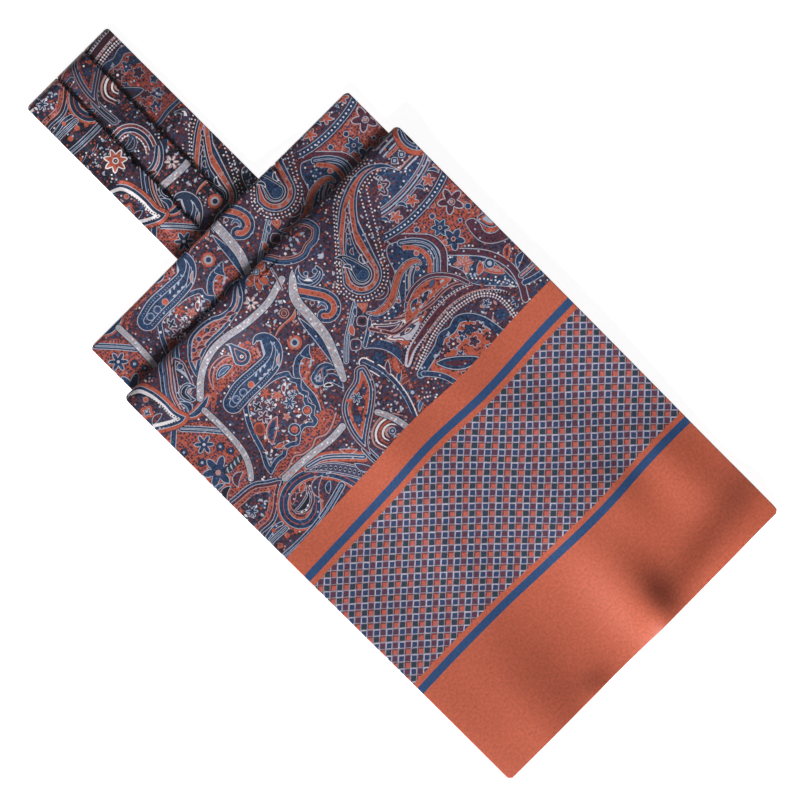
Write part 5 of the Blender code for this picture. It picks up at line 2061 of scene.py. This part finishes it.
def layer_outline(number):
    """The outline of a hidden layer's panel, with its front end clear of the solid's."""
    low, high = CORE_END_Y + CORE_END_CLEAR, CORE_FRONT_Y - CORE_FRONT_CLEAR

    def half_width(v):
        return layer_half_width(number, v) - layer_thickness(CORE_SIDE_X, v) / 2

    outline = panel_outline(half_width, low, high, EDGE_STEP)
    rim = layer_thickness(outline[:, 0], CORE_FRONT_Y) / 2
    outline[:, 1] = np.minimum(outline[:, 1], CORE_FRONT_Y - CORE_RIM_CLEAR - rim)
    return outline, steps(low, high, HIDDEN_STEP)


def add_folded_layers(silk, paisley):
    """The hidden stretches of the blades: flat tubes of silk on each other, with round edges."""
    cloth = Cloth(shells=len(CORE_LAYERS))
    columns = steps(-CORE_GRID_X, CORE_GRID_X, HIDDEN_STEP)
    for number in range(len(CORE_LAYERS)):
        outline, rows = layer_outline(number)
        free = free_grid(outline, columns, rows)
        cloth.shell = number
        art = layer_print(paisley, number)
        add_shell(cloth, place_layer(number), outline, free, free, art, layer_thickness)
    piece = add_piece("folded_layers_silk", cloth, silk, "folded_layers")


# ---------------------------------------------------------------- floor, light and camera

# The photograph is 800 pixels across, and this is the width of what it shows at the cloth.
PHOTO_WIDTH = 321.3
PHOTO_CENTRE = (0.28, -25.0)
PHOTO_TURN = -45.0
LENS = 200.0
SENSOR = 36.0
CLOTH_LEVEL = 6.0

# The nearest and furthest that the camera sees, in metres.
NEAREST = 0.05
FURTHEST = 10.0

# How far the floor reaches each way and its level, in metres, and how pale it is.
FLOOR_REACH = 2.0
FLOOR_LEVEL = -0.05 * MM
FLOOR_COLOUR = (0.93, 0.93, 0.93, 1.0)
FLOOR_ROUGHNESS = 0.9
FLOOR_SPECULAR = 0.1
FLOOR_GLOW = 0.85

WHITE = (1.0, 1.0, 1.0, 1.0)
SURROUNDINGS = 0.075
LIGHTS = (
    # name, direction, distance and size in metres, power in watts
    ("key", (-0.95, -0.68, 0.56), 6.0, 1.8, 690.0),
    ("overhead", (0.1, 0.1, 1.0), 1.8, 1.2, 2.0),
)


def add_floor():
    """A plain pale floor."""
    mesh = bpy.data.meshes.new("floor")
    corners = [(x * FLOOR_REACH, y * FLOOR_REACH, 0) for x, y in ((-1, -1), (1, -1), (1, 1), (-1, 1))]
    mesh.from_pydata(corners, [], [(0, 1, 2, 3)])
    floor = bpy.data.objects.new("floor", mesh)
    floor.location.z = FLOOR_LEVEL
    bpy.context.scene.collection.objects.link(floor)
    material = bpy.data.materials.new("floor")
    material.use_nodes = True
    shader = material.node_tree.nodes["Principled BSDF"]
    shader.inputs["Base Color"].default_value = FLOOR_COLOUR
    shader.inputs["Roughness"].default_value = FLOOR_ROUGHNESS
    shader.inputs["Specular IOR Level"].default_value = FLOOR_SPECULAR
    shader.inputs["Emission Color"].default_value = WHITE
    shader.inputs["Emission Strength"].default_value = FLOOR_GLOW
    mesh.materials.append(material)


def add_light(name, direction, distance, size, power):
    """A soft square light that shines on the cravat from a direction."""
    data = bpy.data.lights.new(name, "AREA")
    data.size = size
    data.energy = power
    light = bpy.data.objects.new(name, data)
    away = Vector(direction).normalized()
    light.location = away * distance
    light.rotation_euler = away.to_track_quat("Z", "Y").to_euler()
    bpy.context.scene.collection.objects.link(light)


def add_surroundings():
    """Pale surroundings that light the cravat a little from all sides."""
    world = bpy.data.worlds.new("studio")
    world.use_nodes = True
    background = world.node_tree.nodes["Background"]
    background.inputs["Color"].default_value = WHITE
    background.inputs["Strength"].default_value = SURROUNDINGS
    bpy.context.scene.world = world
    bpy.context.scene.view_settings.view_transform = "Standard"


def add_camera():
    """The camera, straight above the cravat and turned as the photograph is."""
    data = bpy.data.cameras.new("camera")
    data.lens, data.sensor_width = LENS, SENSOR
    data.clip_start, data.clip_end = NEAREST, FURTHEST
    camera = bpy.data.objects.new("camera", data)
    distance = PHOTO_WIDTH * LENS / SENSOR + CLOTH_LEVEL
    camera.location = Vector((*PHOTO_CENTRE, distance)) * MM
    camera.rotation_euler = (0.0, 0.0, math.radians(PHOTO_TURN))
    bpy.context.scene.collection.objects.link(camera)
    bpy.context.scene.camera = camera


def main():
    """Loads the frame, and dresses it."""
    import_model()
    front_silk = silk_material("front_silk")
    paisley_silk = silk_material("paisley_silk")
    paisley = draw_paisley()
    add_front_blade(front_silk, paisley)
    add_rear_blade(paisley_silk, paisley)
    add_neckband(paisley_silk, paisley)
    add_neckband_back(paisley_silk, paisley)
    add_folded_layers(paisley_silk, paisley)
    add_floor()
    for light in LIGHTS:
        add_light(*light)
    add_surroundings()
    add_camera()


main()
